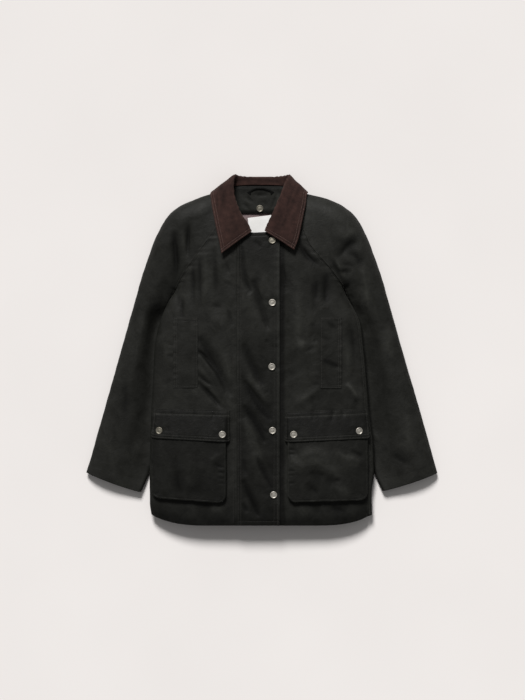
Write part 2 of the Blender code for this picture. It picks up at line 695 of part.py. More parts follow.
def add_bag(name):
    side, ends, mouth, bottom = bag_outline(name)
    width = abs(ends[1] - ends[0])
    runs = [0, 1.6, BAG_SIDE_RUN, BAG_CORNER]
    inner_columns = np.linspace(BAG_CORNER, width - BAG_CORNER, 7)[1:-1]
    columns = np.array(runs + list(inner_columns) + [width - r for r in reversed(runs)])
    low_rows = [0, 1.6, BAG_SIDE_RUN, BAG_CORNER]
    across, along, lift = [], [], []
    for c in columns:
        share = c / width
        into_corner = max(BAG_CORNER - min(c, width - c), 0)
        base = bottom[0] + (bottom[1] - bottom[0]) * share
        base += BAG_CORNER - math.sqrt(BAG_CORNER**2 - into_corner**2)
        top = mouth[0] + (mouth[1] - mouth[0]) * share
        high = np.linspace(base + BAG_CORNER, top, 7)[1:]
        rows = np.array([base + r for r in low_rows] + list(high))
        edge = np.minimum(rows - base, min(c, width - c))
        across.append(np.full(len(rows), ends[0] + side * c))
        along.append(rows)
        lift.append(1.6 + BAG_DEPTH * quarter_round(edge / BAG_SIDE_RUN))
    across, along, lift = (np.array(grid).T for grid in (across, along, lift))
    under = np.maximum(lift - CLOTH, LAY_GAP)
    outer, inner = skin(across, along, lift), skin(across, along, under)
    return wall(f"pocket_bag_{name}", outer, inner, "waxed_cotton", flip=side < 0)


def flap_lift(below_top):
    """Height of a flap's underside over the front: it climbs over the bag's mouth."""
    return LAY_GAP + 0.3 + (BAG_DEPTH + 1.6) * ease_both((below_top - 1) / (BAG_MOUTH_BELOW - 3.5))


def flap_ends(name):
    flap = FLAPS[name]
    y = (flap["top"][0] + flap["bottom"][0]) / 2
    return [across_at(flap["inner"], y), across_at(flap["outer"], y)]


def add_flap(name):
    side = SIDES[name]
    flap = FLAPS[name]
    ends = flap_ends(name)
    width = abs(ends[1] - ends[0])
    columns = np.concatenate([[0, 3], np.linspace(14, width - 14, 8), [width - 3, width]])
    drops = np.array([0, 4, 8, 12, 30, 50, 66])
    across, along, lift = [], [], []
    for c in columns:
        share = c / width
        top = flap["top"][0] + (flap["top"][1] - flap["top"][0]) * share
        bottom = flap["bottom"][0] + (flap["bottom"][1] - flap["bottom"][0]) * share
        corner = 3 - math.sqrt(9 - max(3 - min(c, width - c), 0) ** 2)
        rows = top - drops * (top - bottom - corner) / drops[-1]
        across.append(np.full(len(rows), ends[0] + side * c))
        along.append(rows)
        lift.append(flap_lift(top - rows))
    across, along, lift = (np.array(grid).T for grid in (across, along, lift))
    outer, inner = skin(across, along, lift + FLAP_THICKNESS), skin(across, along, lift)
    return wall(f"pocket_flap_{name}", outer, inner, "waxed_cotton", flip=side > 0)


# opening edge x, inner edge x, top y, bottom y
WELTS = {"right": (-194.0, -140.0, 70.0, -83.0), "left": (174.0, 127.5, 71.0, -84.0)}
WELT_THICKNESS = 1.6
WELT_ROWS = 9
WELT_GAPE = 1.8  # how far the opening edge stands off, half way down


def add_welt(name):
    side = SIDES[name]
    opening, inner_x, top, bottom = WELTS[name]
    rows = np.linspace(bottom, top, WELT_ROWS)
    shares = np.array([0, 0.1, 0.4, 0.7, 1])
    across, along, lift = [], [], []
    for y in rows:
        ends = across_at(inner_x, y), across_at(opening, y)
        across.append(ends[0] + (ends[1] - ends[0]) * (1 - shares))
        along.append(np.full(len(shares), y))
        ease = math.sin(math.pi * (y - bottom) / (top - bottom))
        lift.append(LAY_GAP + 0.4 + WELT_GAPE * ease * (1 - ease_both(shares / 0.5)))
    across, along, lift = np.array(across), np.array(along), np.array(lift)
    outer, inner = skin(across, along, lift + WELT_THICKNESS), skin(across, along, lift)
    return wall(f"handwarmer_welt_{name}", outer, inner, "waxed_cotton", flip=side > 0)


# ---------------------------------------------------------------- collar
COLLAR_THICKNESS = 2.5
ROLL_RADIUS = 1.8
ROLL_REACH = 3.5  # how far the roll's bend runs to both sides
COLLAR_ROWS = 33
# seam x, y, z | roll x, y, z | outward at the roll x, y, z | middle of the fall x, y, z | outer edge x, y, z
COLLAR_STATIONS = (
    (-30, 256, 57, -23, 259, 60, -55.7, 235, 62.5, -88.5, 210.5, 61.5),
    (-42, 272, 56, -32, 278, 59, -62, 256, 61.0, -92.5, 234, 60.0),
    (-52, 288, 53, -44, 294, 57, -71, 278, 57.5, -99, 262, 56.5),
    (-60, 304, 49, -53, 314, 53.5, -79, 303, 53.0, -105, 292, 50.5),
    (-67, 322, 44, -60.5, 338, 48.5, -85, 329, 47.5, -110, 318, 43.5),
    (-72, 338, 39, -62.5, 358, 43.0, -90, 351, 41.0, -113, 338, 35.0),
    (-75, 350, 28, -62, 376, 34.0, -91, 363, 31.0, -115, 347, 23.0),
    (-74, 354, 16.0, -58.5, 385.2, 21.0, -87.5, 366.5, 15.0, -109.5, 350, 10.0),
    (-60, 361, 9.0, -50, 382.8, 8.5, -72, 366, 4.0, -88, 343, 1.6),
    (-30, 363.5, 7.4, -28, 380.8, 5.6, -40, 356, 1.6, -46, 328, 1.6),
    (-4, 363.5, 7.4, -4, 380.4, 5.4, -4, 355, 1.6, -4, 325, 1.6),
    (22, 363.5, 7.4, 22, 380.8, 5.6, 32, 356, 1.6, 38, 328, 1.6),
    (50, 361, 9.0, 46, 382.8, 8.5, 62, 366, 4.0, 77, 343, 1.6),
    (63, 354, 16.0, 60, 384.6, 21.0, 78, 365, 15.0, 94, 346, 10.0),
    (65, 350, 28, 54, 374, 34.0, 81, 363, 31.0, 101, 346, 23.0),
    (65, 338, 39, 48, 358, 43.0, 75, 351, 41.0, 98, 340, 35.0),
    (60, 322, 44, 41, 341, 48.5, 69, 331, 47.5, 96, 320, 43.5),
    (52, 304, 49, 32, 319, 53.5, 61, 308, 53.0, 91, 296, 50.5),
    (42, 288, 53, 23, 298, 57.0, 54, 283, 57.5, 85, 268, 56.5),
    (30, 272, 56, 13.5, 278, 59.0, 46, 260, 61.0, 79, 242, 60.0),
    (16, 256, 57, 6, 260.5, 60.0, 38, 239.5, 62.5, 70, 218.5, 61.5),
)


def collar_line(station):
    """The middle of the collar's thickness at one station: seam, stand, roll, fall, outer edge."""
    seam, roll, middle, edge = (np.array(station[k : k + 3], float) for k in (0, 3, 6, 9))
    over = roll + (middle - roll) / np.linalg.norm(middle - roll) * ROLL_REACH
    under = roll + (seam - roll) / np.linalg.norm(seam - roll) * ROLL_REACH
    apart = over - under
    spread = np.linalg.norm(apart)
    push = apart / max(spread, 1e-6) * max(2 * ROLL_RADIUS - spread, 0) / 2
    over, under = over + push, under - push
    half_up, half_down, low = (seam + roll) / 2, (over + middle) / 2, (middle + edge) / 2
    return np.array([seam, (half_up + under) / 2, under, roll, over, half_down, middle, low, edge])


def add_collar():
    stations = np.array(COLLAR_STATIONS, float)
    places = np.linspace(0, len(stations) - 1, COLLAR_ROWS)
    knots = np.arange(len(stations))
    middle = np.array([collar_line(rows_at(knots, stations, place)) for place in places])
    normal = np.cross(np.gradient(middle, axis=1), np.gradient(middle, axis=0))
    normal /= np.linalg.norm(normal, axis=-1, keepdims=True)
    half = COLLAR_THICKNESS / 2
    return wall("collar", middle + normal * half, middle - normal * half, "corduroy")


# ---------------------------------------------------------------- inside the neck


def plate(name, corners, z_at, thickness, material_name, columns, rows):
    """A thin wall over four corners, from the low left round, whose underside is at z_at(x, y)."""
    low_left, low_right, high_right, high_left = (np.array(c, float) for c in corners)
    s, t = np.meshgrid(np.linspace(0, 1, columns), np.linspace(0, 1, rows))
    s, t = s[..., None], t[..., None]
    plan = (1 - t) * ((1 - s) * low_left + s * low_right) + t * ((1 - s) * high_left + s * high_right)
    under = np.concatenate([plan, z_at(plan[..., 0], plan[..., 1])[..., None]], axis=-1)
    return wall(name, under + [0, 0, thickness], under, material_name)


FACING_THICKNESS = 1.5
LINING_THICKNESS = 1.0
LABEL_THICKNESS = 1.0


def over_back(x, y):
    """Clear of the back's wall where it climbs onto the collar's fall."""
    return bed_height(y + 8) + CLOTH + LAY_GAP


def below_climb(x, y):
    return np.full(np.shape(x), CLOTH + LAY_GAP + 0.3)


def over_lining(x, y):
    return below_climb(x, y) + LINING_THICKNESS + LAY_GAP


LINING_CORNERS = ((-66, 226), (56, 226), (58, 296), (-68, 296))
FACING_CORNERS = ((-72, 301), (62, 301), (54, 360.3), (-64, 360.3))
LABEL_CORNERS = ((-26.4, 250), (34, 257.6), (28.8, 298.4), (-31.6, 290.8))


def add_neck():
    plate("back_lining", LINING_CORNERS, below_climb, LINING_THICKNESS, "lining", 5, 5)
    plate("neck_facing", FACING_CORNERS, over_back, FACING_THICKNESS, "waxed_cotton", 7, 6)
    plate("neck_label", LABEL_CORNERS, over_lining, LABEL_THICKNESS, "label_cloth", 5, 4)


# x, y, height over the facing
LOOP_POINTS = (
    (-29, 344.5, 0),
    (-24.5, 349.5, 3),
    (-15, 354, 6.4),
    (-4.5, 355, 7),
    (6, 354, 6.4),
    (18, 349.5, 3),
    (23.5, 344.5, 0),
)
LOOP_WIDTH = 5.5
LOOP_THICKNESS = 1.6


def add_loop():
    """A ribbon sewn down at both ends, standing off the facing in between."""
    points = np.array(LOOP_POINTS, float)
    line = rows_at(np.arange(len(points)), points, np.linspace(0, len(points) - 1, 13))
    base = over_back(line[:, 0], line[:, 1]) + FACING_THICKNESS + LAY_GAP
    line[:, 2] += base
    ahead = np.gradient(line, axis=0)
    sideways = np.stack([-ahead[:, 1], ahead[:, 0], np.zeros(len(line))], axis=1)
    sideways /= np.linalg.norm(sideways, axis=1, keepdims=True)
    grid = np.stack([line - sideways * LOOP_WIDTH / 2, line + sideways * LOOP_WIDTH / 2], axis=0)
    return wall("hanger_loop", grid + [0, 0, LOOP_THICKNESS], grid, "waxed_cotton")


# ---------------------------------------------------------------- snaps
# radius, height
SNAP_PROFILE = ((0, 1.9), (5.2, 1.9), (6.2, 2.7), (7.75, 1.5), (7.4, 0), (0, 0))
SNAP_STEPS = 12
SNAP_GAP = 0.7
FLY_SNAPS = ((22.5, 239), (22.5, 103.5), (21.5, -36.5), (23, -176), (25.5, -317))
FLAP_SNAPS = {"right": ((-86.5, -184), (-222, -176)), "left": ((69, -184), (210.5, -177))}
NECK_SNAP = (-4.6, 311.5)


def snap_mesh():
    mesh = bpy.data.meshes.new("snap_profile")
    points = [(radius * MM, 0, height * MM) for radius, height in SNAP_PROFILE]
    mesh.from_pydata(points, [(k, k + 1) for k in range(len(points) - 1)], [])
    return mesh


def add_snap(name, mesh, point, normal):
    made = bpy.data.objects.new(name, mesh)
    bpy.data.collections["waxed_jacket"].objects.link(made)
    turned = made.modifiers.new("turned", "SCREW")
    turned.steps = turned.render_steps = SNAP_STEPS
    turned.use_merge_vertices = True
    turned.merge_threshold = 0.00001
    made.location = Vector((point + normal * SNAP_GAP) * MM)
    made.rotation_euler = Vector(normal).to_track_quat("Z", "Y").to_euler()
    return made


def add_snaps():
    mesh = snap_mesh()
    mesh.materials.append(material("snap_metal"))
    for number, (x, y) in enumerate(FLY_SNAPS, 1):
        across = across_at(x, y)
        normal = body_normal(across, y)
        add_snap(f"snap_fly_{number}", mesh, skin(across, y, LAY_GAP + FLY_THICKNESS), normal)
    for name, places in FLAP_SNAPS.items():
        for where, (x, y) in zip(("inner", "outer"), places):
            across = across_at(x, y)
            lift = flap_lift(abs(y - FLAPS[name]["top"][0])) + FLAP_THICKNESS
            add_snap(f"snap_flap_{name}_{where}", mesh, skin(across, y, lift), body_normal(across, y))
    x, y = NECK_SNAP
    up = np.array([0.0, 0.0, 1.0])
    add_snap("snap_neck", mesh, np.array([x, y, over_back(x, y) + FACING_THICKNESS]), up)


# ---------------------------------------------------------------- the jacket


def main():
    for found in list(bpy.data.objects):
        bpy.data.objects.remove(found)
    collection = bpy.data.collections.new("waxed_jacket")
    bpy.context.scene.collection.children.link(collection)
    add_back()
    for name in SIDES:
        add_front(name)
        add_sleeve(name)
        add_welt(name)
        add_bag(name)
        add_flap(name)
    add_fly()
    add_collar()
    add_neck()
    add_loop()
    add_snaps()


main()
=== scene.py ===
"""The looks of a waxed cotton jacket with a corduroy collar, laid on its back and snapped shut.

Row frame: +Z up from the surface it lies on, +Y from hem to collar, +X to the wearer's left.
Sizes are in millimetres, and become metres where a mesh is made.
Every cloth piece is a thin shell on the form of its solid, with the finer creases, puckers,
edges and stitches of waxed cloth that was used and laid down.
"""

import functools
import math

import bpy
import numpy as np
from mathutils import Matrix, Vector


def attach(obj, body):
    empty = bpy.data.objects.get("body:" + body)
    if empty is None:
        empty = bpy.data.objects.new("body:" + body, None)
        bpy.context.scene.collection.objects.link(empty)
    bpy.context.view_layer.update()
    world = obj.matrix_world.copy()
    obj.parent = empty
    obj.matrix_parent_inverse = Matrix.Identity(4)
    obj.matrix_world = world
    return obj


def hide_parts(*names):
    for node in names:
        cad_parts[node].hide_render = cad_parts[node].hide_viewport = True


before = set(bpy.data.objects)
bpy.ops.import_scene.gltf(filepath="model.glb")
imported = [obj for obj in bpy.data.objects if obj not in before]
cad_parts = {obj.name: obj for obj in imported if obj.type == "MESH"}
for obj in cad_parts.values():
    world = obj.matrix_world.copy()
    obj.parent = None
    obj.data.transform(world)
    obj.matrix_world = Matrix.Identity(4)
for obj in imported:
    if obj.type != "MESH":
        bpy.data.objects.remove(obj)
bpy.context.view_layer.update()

MM = 0.001
SIDES = {"right": -1, "left": 1}  # wearer's side: sign of x
CLOTH = 1.6  # a panel's thickness
LAY_GAP = 0.5  # under what lies on a panel
OPENING_X = -8.0  # where the fronts meet
ARMPIT_Y = {"right": 132.0, "left": 138.6}
HEM_Y = -385.4
HEM_CORNER_Y = -362.0
HEM_SEAM_Y = {"right": -362.0, "left": -366.0}  # where each front's hem ends at its side seam
NECK_SIDE_Y = 322.0

# ---------------------------------------------------------------- smooth helpers


def ease_out(x):
    x = np.clip(x, 0, 1)
    return 1 - (1 - x) ** 2


def ease_both(x):
    x = np.clip(x, 0, 1)
    return x * x * (3 - 2 * x)


def quarter_round(x):
    """Rises from 0 to 1 as a quarter of a circle does, upright at its start."""
    x = np.clip(x, 0, 1)
    return np.sqrt(1 - (1 - x) ** 2)


def rows_at(knots, rows, at):
    """A smooth curve through the rows of a table, read at one or more places."""
    knots = np.asarray(knots, float)
    rows = np.asarray(rows, float)
    slopes = np.gradient(rows, knots, axis=0)
    at = np.clip(np.asarray(at, float), knots[0], knots[-1])
    i = np.clip(np.searchsorted(knots, at) - 1, 0, len(knots) - 2)
    span = knots[i + 1] - knots[i]
    t = (at - knots[i]) / span
    if rows.ndim > 1:
        span, t = span[..., None], t[..., None]
    return (
        (1 + 2 * t) * (1 - t) ** 2 * rows[i]
        + t * (1 - t) ** 2 * span * slopes[i]
        + t * t * (3 - 2 * t) * rows[i + 1]
        - t * t * (1 - t) * span * slopes[i + 1]
    )


def read_rows(table, at):
    """The same for a table that has its knots as keys."""
    return rows_at(list(table), list(table.values()), at)


def least(*distances):
    """The least of several distances, place by place."""
    return functools.reduce(np.minimum, distances)


def along_line(points):
    """Distance along a line of points, from its first one."""
    steps = np.linalg.norm(np.diff(points, axis=0), axis=1)
    return np.concatenate([[0], np.cumsum(steps)])


LATTICE = 64
LATTICE_FROM = (7.3, 3.1)  # off its corner, so that nothing starts on a knot


def lattice(x, y, size, seed):
    """Smooth noise from -1 to 1 over a lattice of that size."""
    table = np.random.default_rng(seed).uniform(-1, 1, (LATTICE, LATTICE))
    u, v = (np.asarray(at, float) / size + start for at, start in zip((x, y), LATTICE_FROM))
    i, j = np.floor(u).astype(int), np.floor(v).astype(int)
    s, t = ease_both(u - i), ease_both(v - j)
    i0, i1, j0, j1 = i % LATTICE, (i + 1) % LATTICE, j % LATTICE, (j + 1) % LATTICE
    low = table[j0, i0] * (1 - s) + table[j0, i1] * s
    high = table[j1, i0] * (1 - s) + table[j1, i1] * s
    return low * (1 - t) + high * t


def crumple(x, y, seed):
    """The small uneven dents and creases of stiff waxed cloth, in millimetres."""
    bent_x = x + 9 * lattice(x, y, 41, seed + 1)
    bent_y = y + 9 * lattice(x, y, 37, seed + 2)
    turned_x, turned_y = 0.8 * bent_x + 0.6 * bent_y, 0.8 * bent_y - 0.6 * bent_x
    soft = lattice(turned_x, bent_y, 46, seed + 3)
    creased = 1 - 2.4 * np.abs(lattice(bent_x, turned_y, 27, seed + 4))
    fine = 1 - 2.4 * np.abs(lattice(turned_x, turned_y, 13, seed + 5))
    streaks = lattice(bent_x, 0.22 * bent_y, 15, seed + 7)
    patch = 0.5 + 0.5 * lattice(x, y, 71, seed + 6)
    return 0.45 * soft + 0.5 * streaks + 0.35 * creased * patch + 0.14 * fine * patch


# ---------------------------------------------------------------- folds
# Each row is a soft trough (depth below 0) or ridge (above 0), from its start by its bend to its end.
# start x, start y, bend x, bend y, end x, end y, half-width, depth
FOLDS = (
    (-138, 28, -104, -6, -66, -108, 9, -3.6),
    (-144, -62, -108, -100, -78, -134, 8, -2.8),
    (-122, -24, -96, -66, -70, -128, 9, 2.6),
    (-122, 66, -98, 62, -76, 52, 20, 1.6),
    (-44, 226, -50, 150, -24, 122, 9, -2.4),
    (-20, 152, 2, 110, 14, 40, 10, -3.0),
    (-44, 26, -30, -30, 4, -70, 10, -2.8),
    (-42, -58, -16, -96, 26, -146, 9, -3.2),
    (-12, -194, 0, -250, 32, -290, 11, -2.6),
    (-42, -282, -34, -330, -10, -368, 10, -2.4),
    (66, 150, 92, 60, 84, -40, 22, 2.4),
    (74, -124, 100, -102, 130, -82, 11, 1.6),
    (180, -72, 196, -92, 212, -118, 9, 2.4),
    (52, 120, 62, 20, 58, -90, 14, -2.2),
    (-160, 290, -162, 240, -164, 192, 12, -3.2),
    (-190, 296, -191, 220, -190, 130, 13, -3.4),
    (226, 250, 196, 232, 160, 200, 22, -3.0),
    (230, 284, 196, 264, 162, 238, 22, 2.0),
    (204, 214, 212, 180, 208, 126, 18, -1.2),
    (-232, 120, -262, 0, -296, -150, 17, -2.0),
    (244, 110, 268, 0, 300, -140, 18, -2.0),
    (-262, -60, -284, -150, -306, -240, 15, 2.0),
    (290, -40, 312, -130, 330, -230, 15, 2.0),
)
FOLD_SPANS = 8


def fold_height(x, y, folds=FOLDS, fading=0.8, sharpness=2.0):
    """How far the folds raise the upper side at a point of the plan."""
    x, y = np.broadcast_arrays(np.asarray(x, float), np.asarray(y, float))
    height = np.zeros(x.size)
    flat_x, flat_y = x.ravel(), y.ravel()
    t = np.linspace(0, 1, FOLD_SPANS + 1)[:, None]
    for row in folds:
        start, bend, end = np.reshape(row[:6], (3, 2))
        width, depth = row[6:]
        line = (1 - t) ** 2 * start + 2 * t * (1 - t) * bend + t * t * end
        low, high = line.min(axis=0) - 3 * width, line.max(axis=0) + 3 * width
        close = (flat_x > low[0]) & (flat_x < high[0]) & (flat_y > low[1]) & (flat_y < high[1])
        px, py = flat_x[close], flat_y[close]
        nearest = np.full(px.shape, 1e9)
        share = np.zeros(px.shape)
        for k in range(FOLD_SPANS):
            ahead = line[k + 1] - line[k]
            along = ((px - line[k][0]) * ahead[0] + (py - line[k][1]) * ahead[1]) / (ahead @ ahead)
            along = np.clip(along, 0, 1)
            away = np.hypot(px - line[k][0] - along * ahead[0], py - line[k][1] - along * ahead[1])
            closer = away < nearest
            nearest = np.where(closer, away, nearest)
            share = np.where(closer, (k + along) / FOLD_SPANS, share)
        fade = np.clip(4 * share * (1 - share), 0, 1) ** fading
        height[close] += depth * fade * np.exp(-((nearest / width) ** sharpness))
    return height.reshape(x.shape)


# Finer creases, the same way: they lie on the panels, and each panel fades them out at its seams.
CREASE_ROWS = (
    # right shoulder and the top of its sleeve
    (-194, 262, -187, 215, -189, 142, 5.5, -2.2),
    (-160, 278, -163, 242, -163, 203, 3.5, -2.2),
    (-178, 262, -170, 236, -165, 196, 5, 1.6),
    (-184, 128, -184, 108, -184, 88, 5, -1.0),
    (-79, 196, -76, 180, -71, 165, 4, -1.2),
    (-176, 120, -174, 90, -176, 66, 4, -1.4),
    (-152, 210, -150, 150, -153, 90, 5, -1.5),
    (-138, 230, -136, 160, -136, 84, 4, -1.3),
    (-124, 214, -122, 160, -124, 100, 5, 1.4),
    (-104, 226, -102, 170, -98, 112, 5, -1.3),
    (-88, 161, -78, 155, -68, 149, 4, 1.0),
    (-84, 145, -75, 144, -66, 143, 3.5, -0.9),
    (-110, 97, -99, 95, -88, 92, 5, -1.3),
    (-113, 68, -79, 66, -68, 20, 6, 0.7),
    (-75, 88, -69, 70, -64, 51, 4, -1.2),
    (-155, 59, -149, 48, -144, 35, 3, 0.9),
    (-200, 84, -196, 76, -191, 66, 4, -1.2),
    # the fan beside the right welt
    (-142, 30, -110, -15, -70, -104, 7.5, -2.2),
    (-146, 4, -124, -12, -108, -42, 3.5, -1.3),
    (-140, -2, -118, -15, -102, -47, 4, -1.7),
    (-140, -11, -122, -22, -113, -50, 3.5, 1.2),
    (-145, -37, -130, -44, -113, -70, 3.5, 1.2),
    (-142, -51, -126, -70, -108, -78, 3.5, -1.5),
    (-144, -59, -112, -84, -79, -125, 4, 1.6),
    (-144, -68, -114, -94, -88, -129, 4, -2.2),
    (-153, -85, -147, -95, -138, -108, 3, 1.1),
    (-145, -77, -139, -83, -132, -89, 2.5, 0.9),
    (-81, -95, -72, -101, -64, -108, 3.5, 1.2),
    (-79, -110, -69, -122, -60, -133, 4, 1.4),
    (-83, -8, -73, -45, -66, -78, 8, 1.8),
    # short gathers outside the right welt
    (-208, 23, -200, 22, -190, 21, 3, 0.9),
    (-209, 11, -200, 11, -192, 10, 3, -0.9),
    (-209, -1, -200, 0, -192, 0, 3, -0.9),
    (-209, -13, -200, -13, -192, -14, 3, -0.9),
    (-208, -24, -200, -24, -190, -25, 3, 0.9),
    (-202, -61, -206, -70, -212, -79, 4, -1.2),
    # the fly
    (-44, 228, -44, 150, -22, 125, 3.5, -2.2),
    (-18, 154, -6, 104, 14, 43, 4, -2.5),
    (-30, 123, -25, 95, -18, 66, 5, 1.3),
    (-9, 142, -4, 128, 1, 113, 4, 1.0),
    (-16, 239, -9, 231, -1, 222, 3.5, -1.3),
    (-40, 14, -26, -36, 4, -80, 5.5, -2.6),
    (-35, -53, -8, -92, 20, -122, 7, 2.0),
    (-40, -66, -14, -116, 22, -156, 6, -2.6),
    (-42, -120, -10, -160, 8, -205, 5.5, -2.4),
    (-40, -148, -24, -186, 0, -250, 8, 3.0),
    (-13, -232, 2, -268, 24, -304, 5, -2.3),
    (-20, -222, -10, -262, 14, -300, 9, 1.5),
    (-42, -284, -26, -322, -4, -368, 5.5, -2.2),
    (-44, -334, -38, -346, -31, -356, 4, -1.4),
    (-37, -323, -31, -338, -24, -352, 4, 1.0),
    (-42, -238, -38, -256, -35, -275, 5, -1.0),
    (-3, -13, 1, -17, 4, -21, 3, -0.8),
    (9, 24, 11, 20, 12, 14, 3, -0.9),
    (9, -88, 11, -92, 12, -97, 3, -0.9),
    # left shoulder and the top of its sleeve
    (80, 240, 92, 204, 126, 186, 8, -1.8),
    (214, 240, 188, 234, 165, 198, 9.5, -1.7),
    (186, 211, 214, 212, 220, 170, 8, -1.3),
    (214, 140, 221, 92, 234, 20, 10, 1.0),
    (205, 262, 187, 250, 172, 240, 9, 1.6),
    (204, 222, 214, 216, 222, 214, 6, 0.9),
    (168, 184, 186, 190, 204, 180, 6, -1.3),
    (162, 200, 172, 176, 184, 150, 4, 1.3),
    (154, 198, 164, 172, 176, 148, 3.5, -1.2),
    (163, 172, 180, 171, 198, 172, 5, -1.1),
    (163, 183, 180, 184, 196, 180, 4, 1.2),
    (178, 176, 178, 170, 178, 162, 2.5, -1.0),
    (187, 172, 187, 165, 187, 158, 2.5, -1.0),
    (181, 138, 186, 137, 192, 136, 3, -1.2),
    (183, 129, 190, 127, 196, 124, 2.5, 1.2),
    (190, 122, 196, 117, 202, 110, 4, -1.2),
    (217, 196, 226, 150, 240, 60, 7, 1.4),
    (271, 44, 277, 14, 282, -22, 8, 1.2),
    (247, -183, 251, -192, 257, -203, 3.5, 1.8),
    (241, -186, 246, -200, 253, -212, 4, -1.0),
    # the left front
    (44, 187, 48, 156, 55, 125, 7, -1.1),
    (120, 152, 121, 130, 120, 108, 5, -1.0),
    (141, 169, 141, 134, 138, 99, 11, -1.5),
    (115, 165, 112, 120, 114, 77, 8, -1.0),
    (76, 130, 86, 60, 80, 0, 10, 1.2),
    (58, 2, 78, 14, 102, 12, 7, 0.6),
    (56, -42, 62, -52, 72, -62, 8, -0.9),
    (196, 60, 200, 10, 204, -40, 7.5, -0.9),
    (186, 20, 188, -20, 190, -60, 6, 1.2),
    (57, 66, 57, 58, 57, 50, 4, -0.9),
    (172, 125, 180, 116, 189, 104, 5, -1.4),
    (138, 64, 152, 55, 166, 46, 4, -1.3),
    (128, 29, 140, 26, 152, 22, 3.5, -1.3),
    (128, 16, 134, 12, 140, 7, 3, 1.0),
    (128, -11, 134, -14, 141, -18, 3, 1.0),
    (129, -18, 148, -27, 169, -37, 4, -2.4),
    (129, -69, 134, -70, 141, -72, 3, 0.9),
    (104, 57, 111, 55, 117, 53, 3.5, -1.2),
    (102, 32, 108, 30, 113, 29, 3.5, -1.2),
    (112, 21, 115, 20, 119, 18, 3, -0.9),
    (96, 21, 90, 10, 81, -2, 8, 1.6),
    (95, -4, 104, 1, 112, 7, 4, -1.2),
    (104, 13, 115, 12, 128, 13, 3, 0.9),
    (106, -5, 116, -6, 128, -5, 3, 0.9),
    (104, -18, 116, -18, 128, -19, 3, 0.9),
    (107, -33, 117, -34, 128, -33, 3, 0.9),
    (106, -53, 116, -54, 128, -52, 3, 0.9),
    (108, -76, 117, -76, 128, -75, 3, -0.9),
    (127, -83, 94, -104, 69, -123, 5, 0.7),
    (185, -75, 203, -83, 209, -112, 3, 1.2),
    (185, -74, 197, -85, 210, -111, 4, 1.4),
    (106, -102, 111, -108, 117, -114, 7, -0.7),
    (201, -111, 206, -114, 211, -118, 6, -0.5),
    # the right bag
    (-158, -225, -155, -262, -158, -300, 9, 0.9),
    (-184, -262, -186, -290, -180, -316, 8, -1.1),
    (-134, -244, -130, -256, -126, -266, 5, 1.1),
    (-114, -242, -102, -236, -88, -224, 4, 1.4),
    (-103, -246, -96, -254, -88, -262, 4, -1.4),
    (-166, -275, -158, -290, -148, -304, 6, 1.0),
    (-205, -292, -196, -304, -188, -318, 5, 1.1),
    # the left bag
    (57, -238, 74, -246, 94, -264, 11, 1.8),
    (84, -236, 112, -214, 150, -240, 13, 2.4),
    (74, -266, 125, -224, 178, -292, 11, 2.6),
    (80, -286, 125, -246, 172, -308, 13, -0.8),
    (158, -282, 166, -286, 172, -286, 5, -1.6),
    (150, -222, 176, -232, 212, -262, 10, 1.6),
    (183, -231, 200, -242, 216, -249, 5, 1.4),
    (194, -220, 208, -228, 221, -238, 5, -1.3),
    (150, -295, 172, -304, 194, -321, 8, 1.4),
    (96, -290, 110, -306, 124, -316, 9, -1.0),
    # gathers along the bags' sides, and across the tops of the flaps
    (-99, -254, -89, -255, -79, -256, 2.0, -1.2),
    (-98, -267, -88, -267, -79, -268, 2.0, -1.2),
    (-98, -279, -88, -280, -79, -280, 2.0, -1.1),
    (-97, -291, -88, -291, -80, -292, 2.0, -1.1),
    (-99, -261, -89, -261, -80, -262, 1.8, 0.8),
    (-98, -273, -88, -274, -80, -274, 1.8, 0.8),
    (57, -218, 64, -218, 72, -217, 2.0, -1.2),
    (57, -227, 64, -227, 72, -228, 2.0, -1.2),
    (57, -264, 64, -264, 73, -263, 2.0, -1.2),
    (57, -273, 64, -273, 73, -274, 2.0, -1.2),
    (57, -291, 64, -290, 72, -290, 2.0, -1.1),
    (-232, -318, -226, -312, -218, -308, 2.5, -1.0),
    (222, -322, 216, -314, 208, -310, 2.5, -1.0),
    (110, -130, 111, -142, 113, -156, 3.0, -1.4),
    (156, -130, 155, -142, 152, -158, 3.0, -1.3),
    (174, -130, 175, -140, 177, -152, 2.6, -1.2),
    (84, -132, 84, -142, 82, -152, 2.6, 0.9),
    (-104, -132, -106, -144, -110, -156, 3.0, -1.3),
    (-148, -130, -147, -142, -145, -154, 2.6, -1.2),
    (-196, -130, -198, -140, -199, -150, 2.6, -1.2),
    # below the bags and at the hem
    (-78, -344, -92, -352, -112, -356, 7, 1.2),
    (-160, -344, -168, -356, -180, -364, 8, -1.0),
    (82, -338, 92, -352, 104, -370, 7, 1.3),
    (150, -342, 166, -352, 186, -356, 8, -1.0),
    # lower sleeves
    (-246, 70, -262, 20, -268, -40, 9, 1.2),
    (-300, -60, -296, -110, -302, -170, 10, -1.2),
    (-262, -200, -280, -228, -306, -246, 8, 1.2),
    (-334, -190, -326, -226, -334, -262, 8, 1.0),
    (256, -20, 268, -70, 272, -130, 12, -0.5),
    (320, -140, 318, -190, 326, -236, 9, 1.2),
    (280, -226, 300, -240, 326, -250, 8, -1.1),
)
CREASE_SCALE = 2.1
CREASE_FULL, CREASE_LEAST = 42.0, 0.45  # a crease this long has its whole depth, and a short one this share
LEFT_FROM, LEFT_DEEPER = -46.0, 1.25  # the fly and the left side are creased more deeply
RIDGE_WIDER, RIDGE_LOWER = 1.5, 0.62


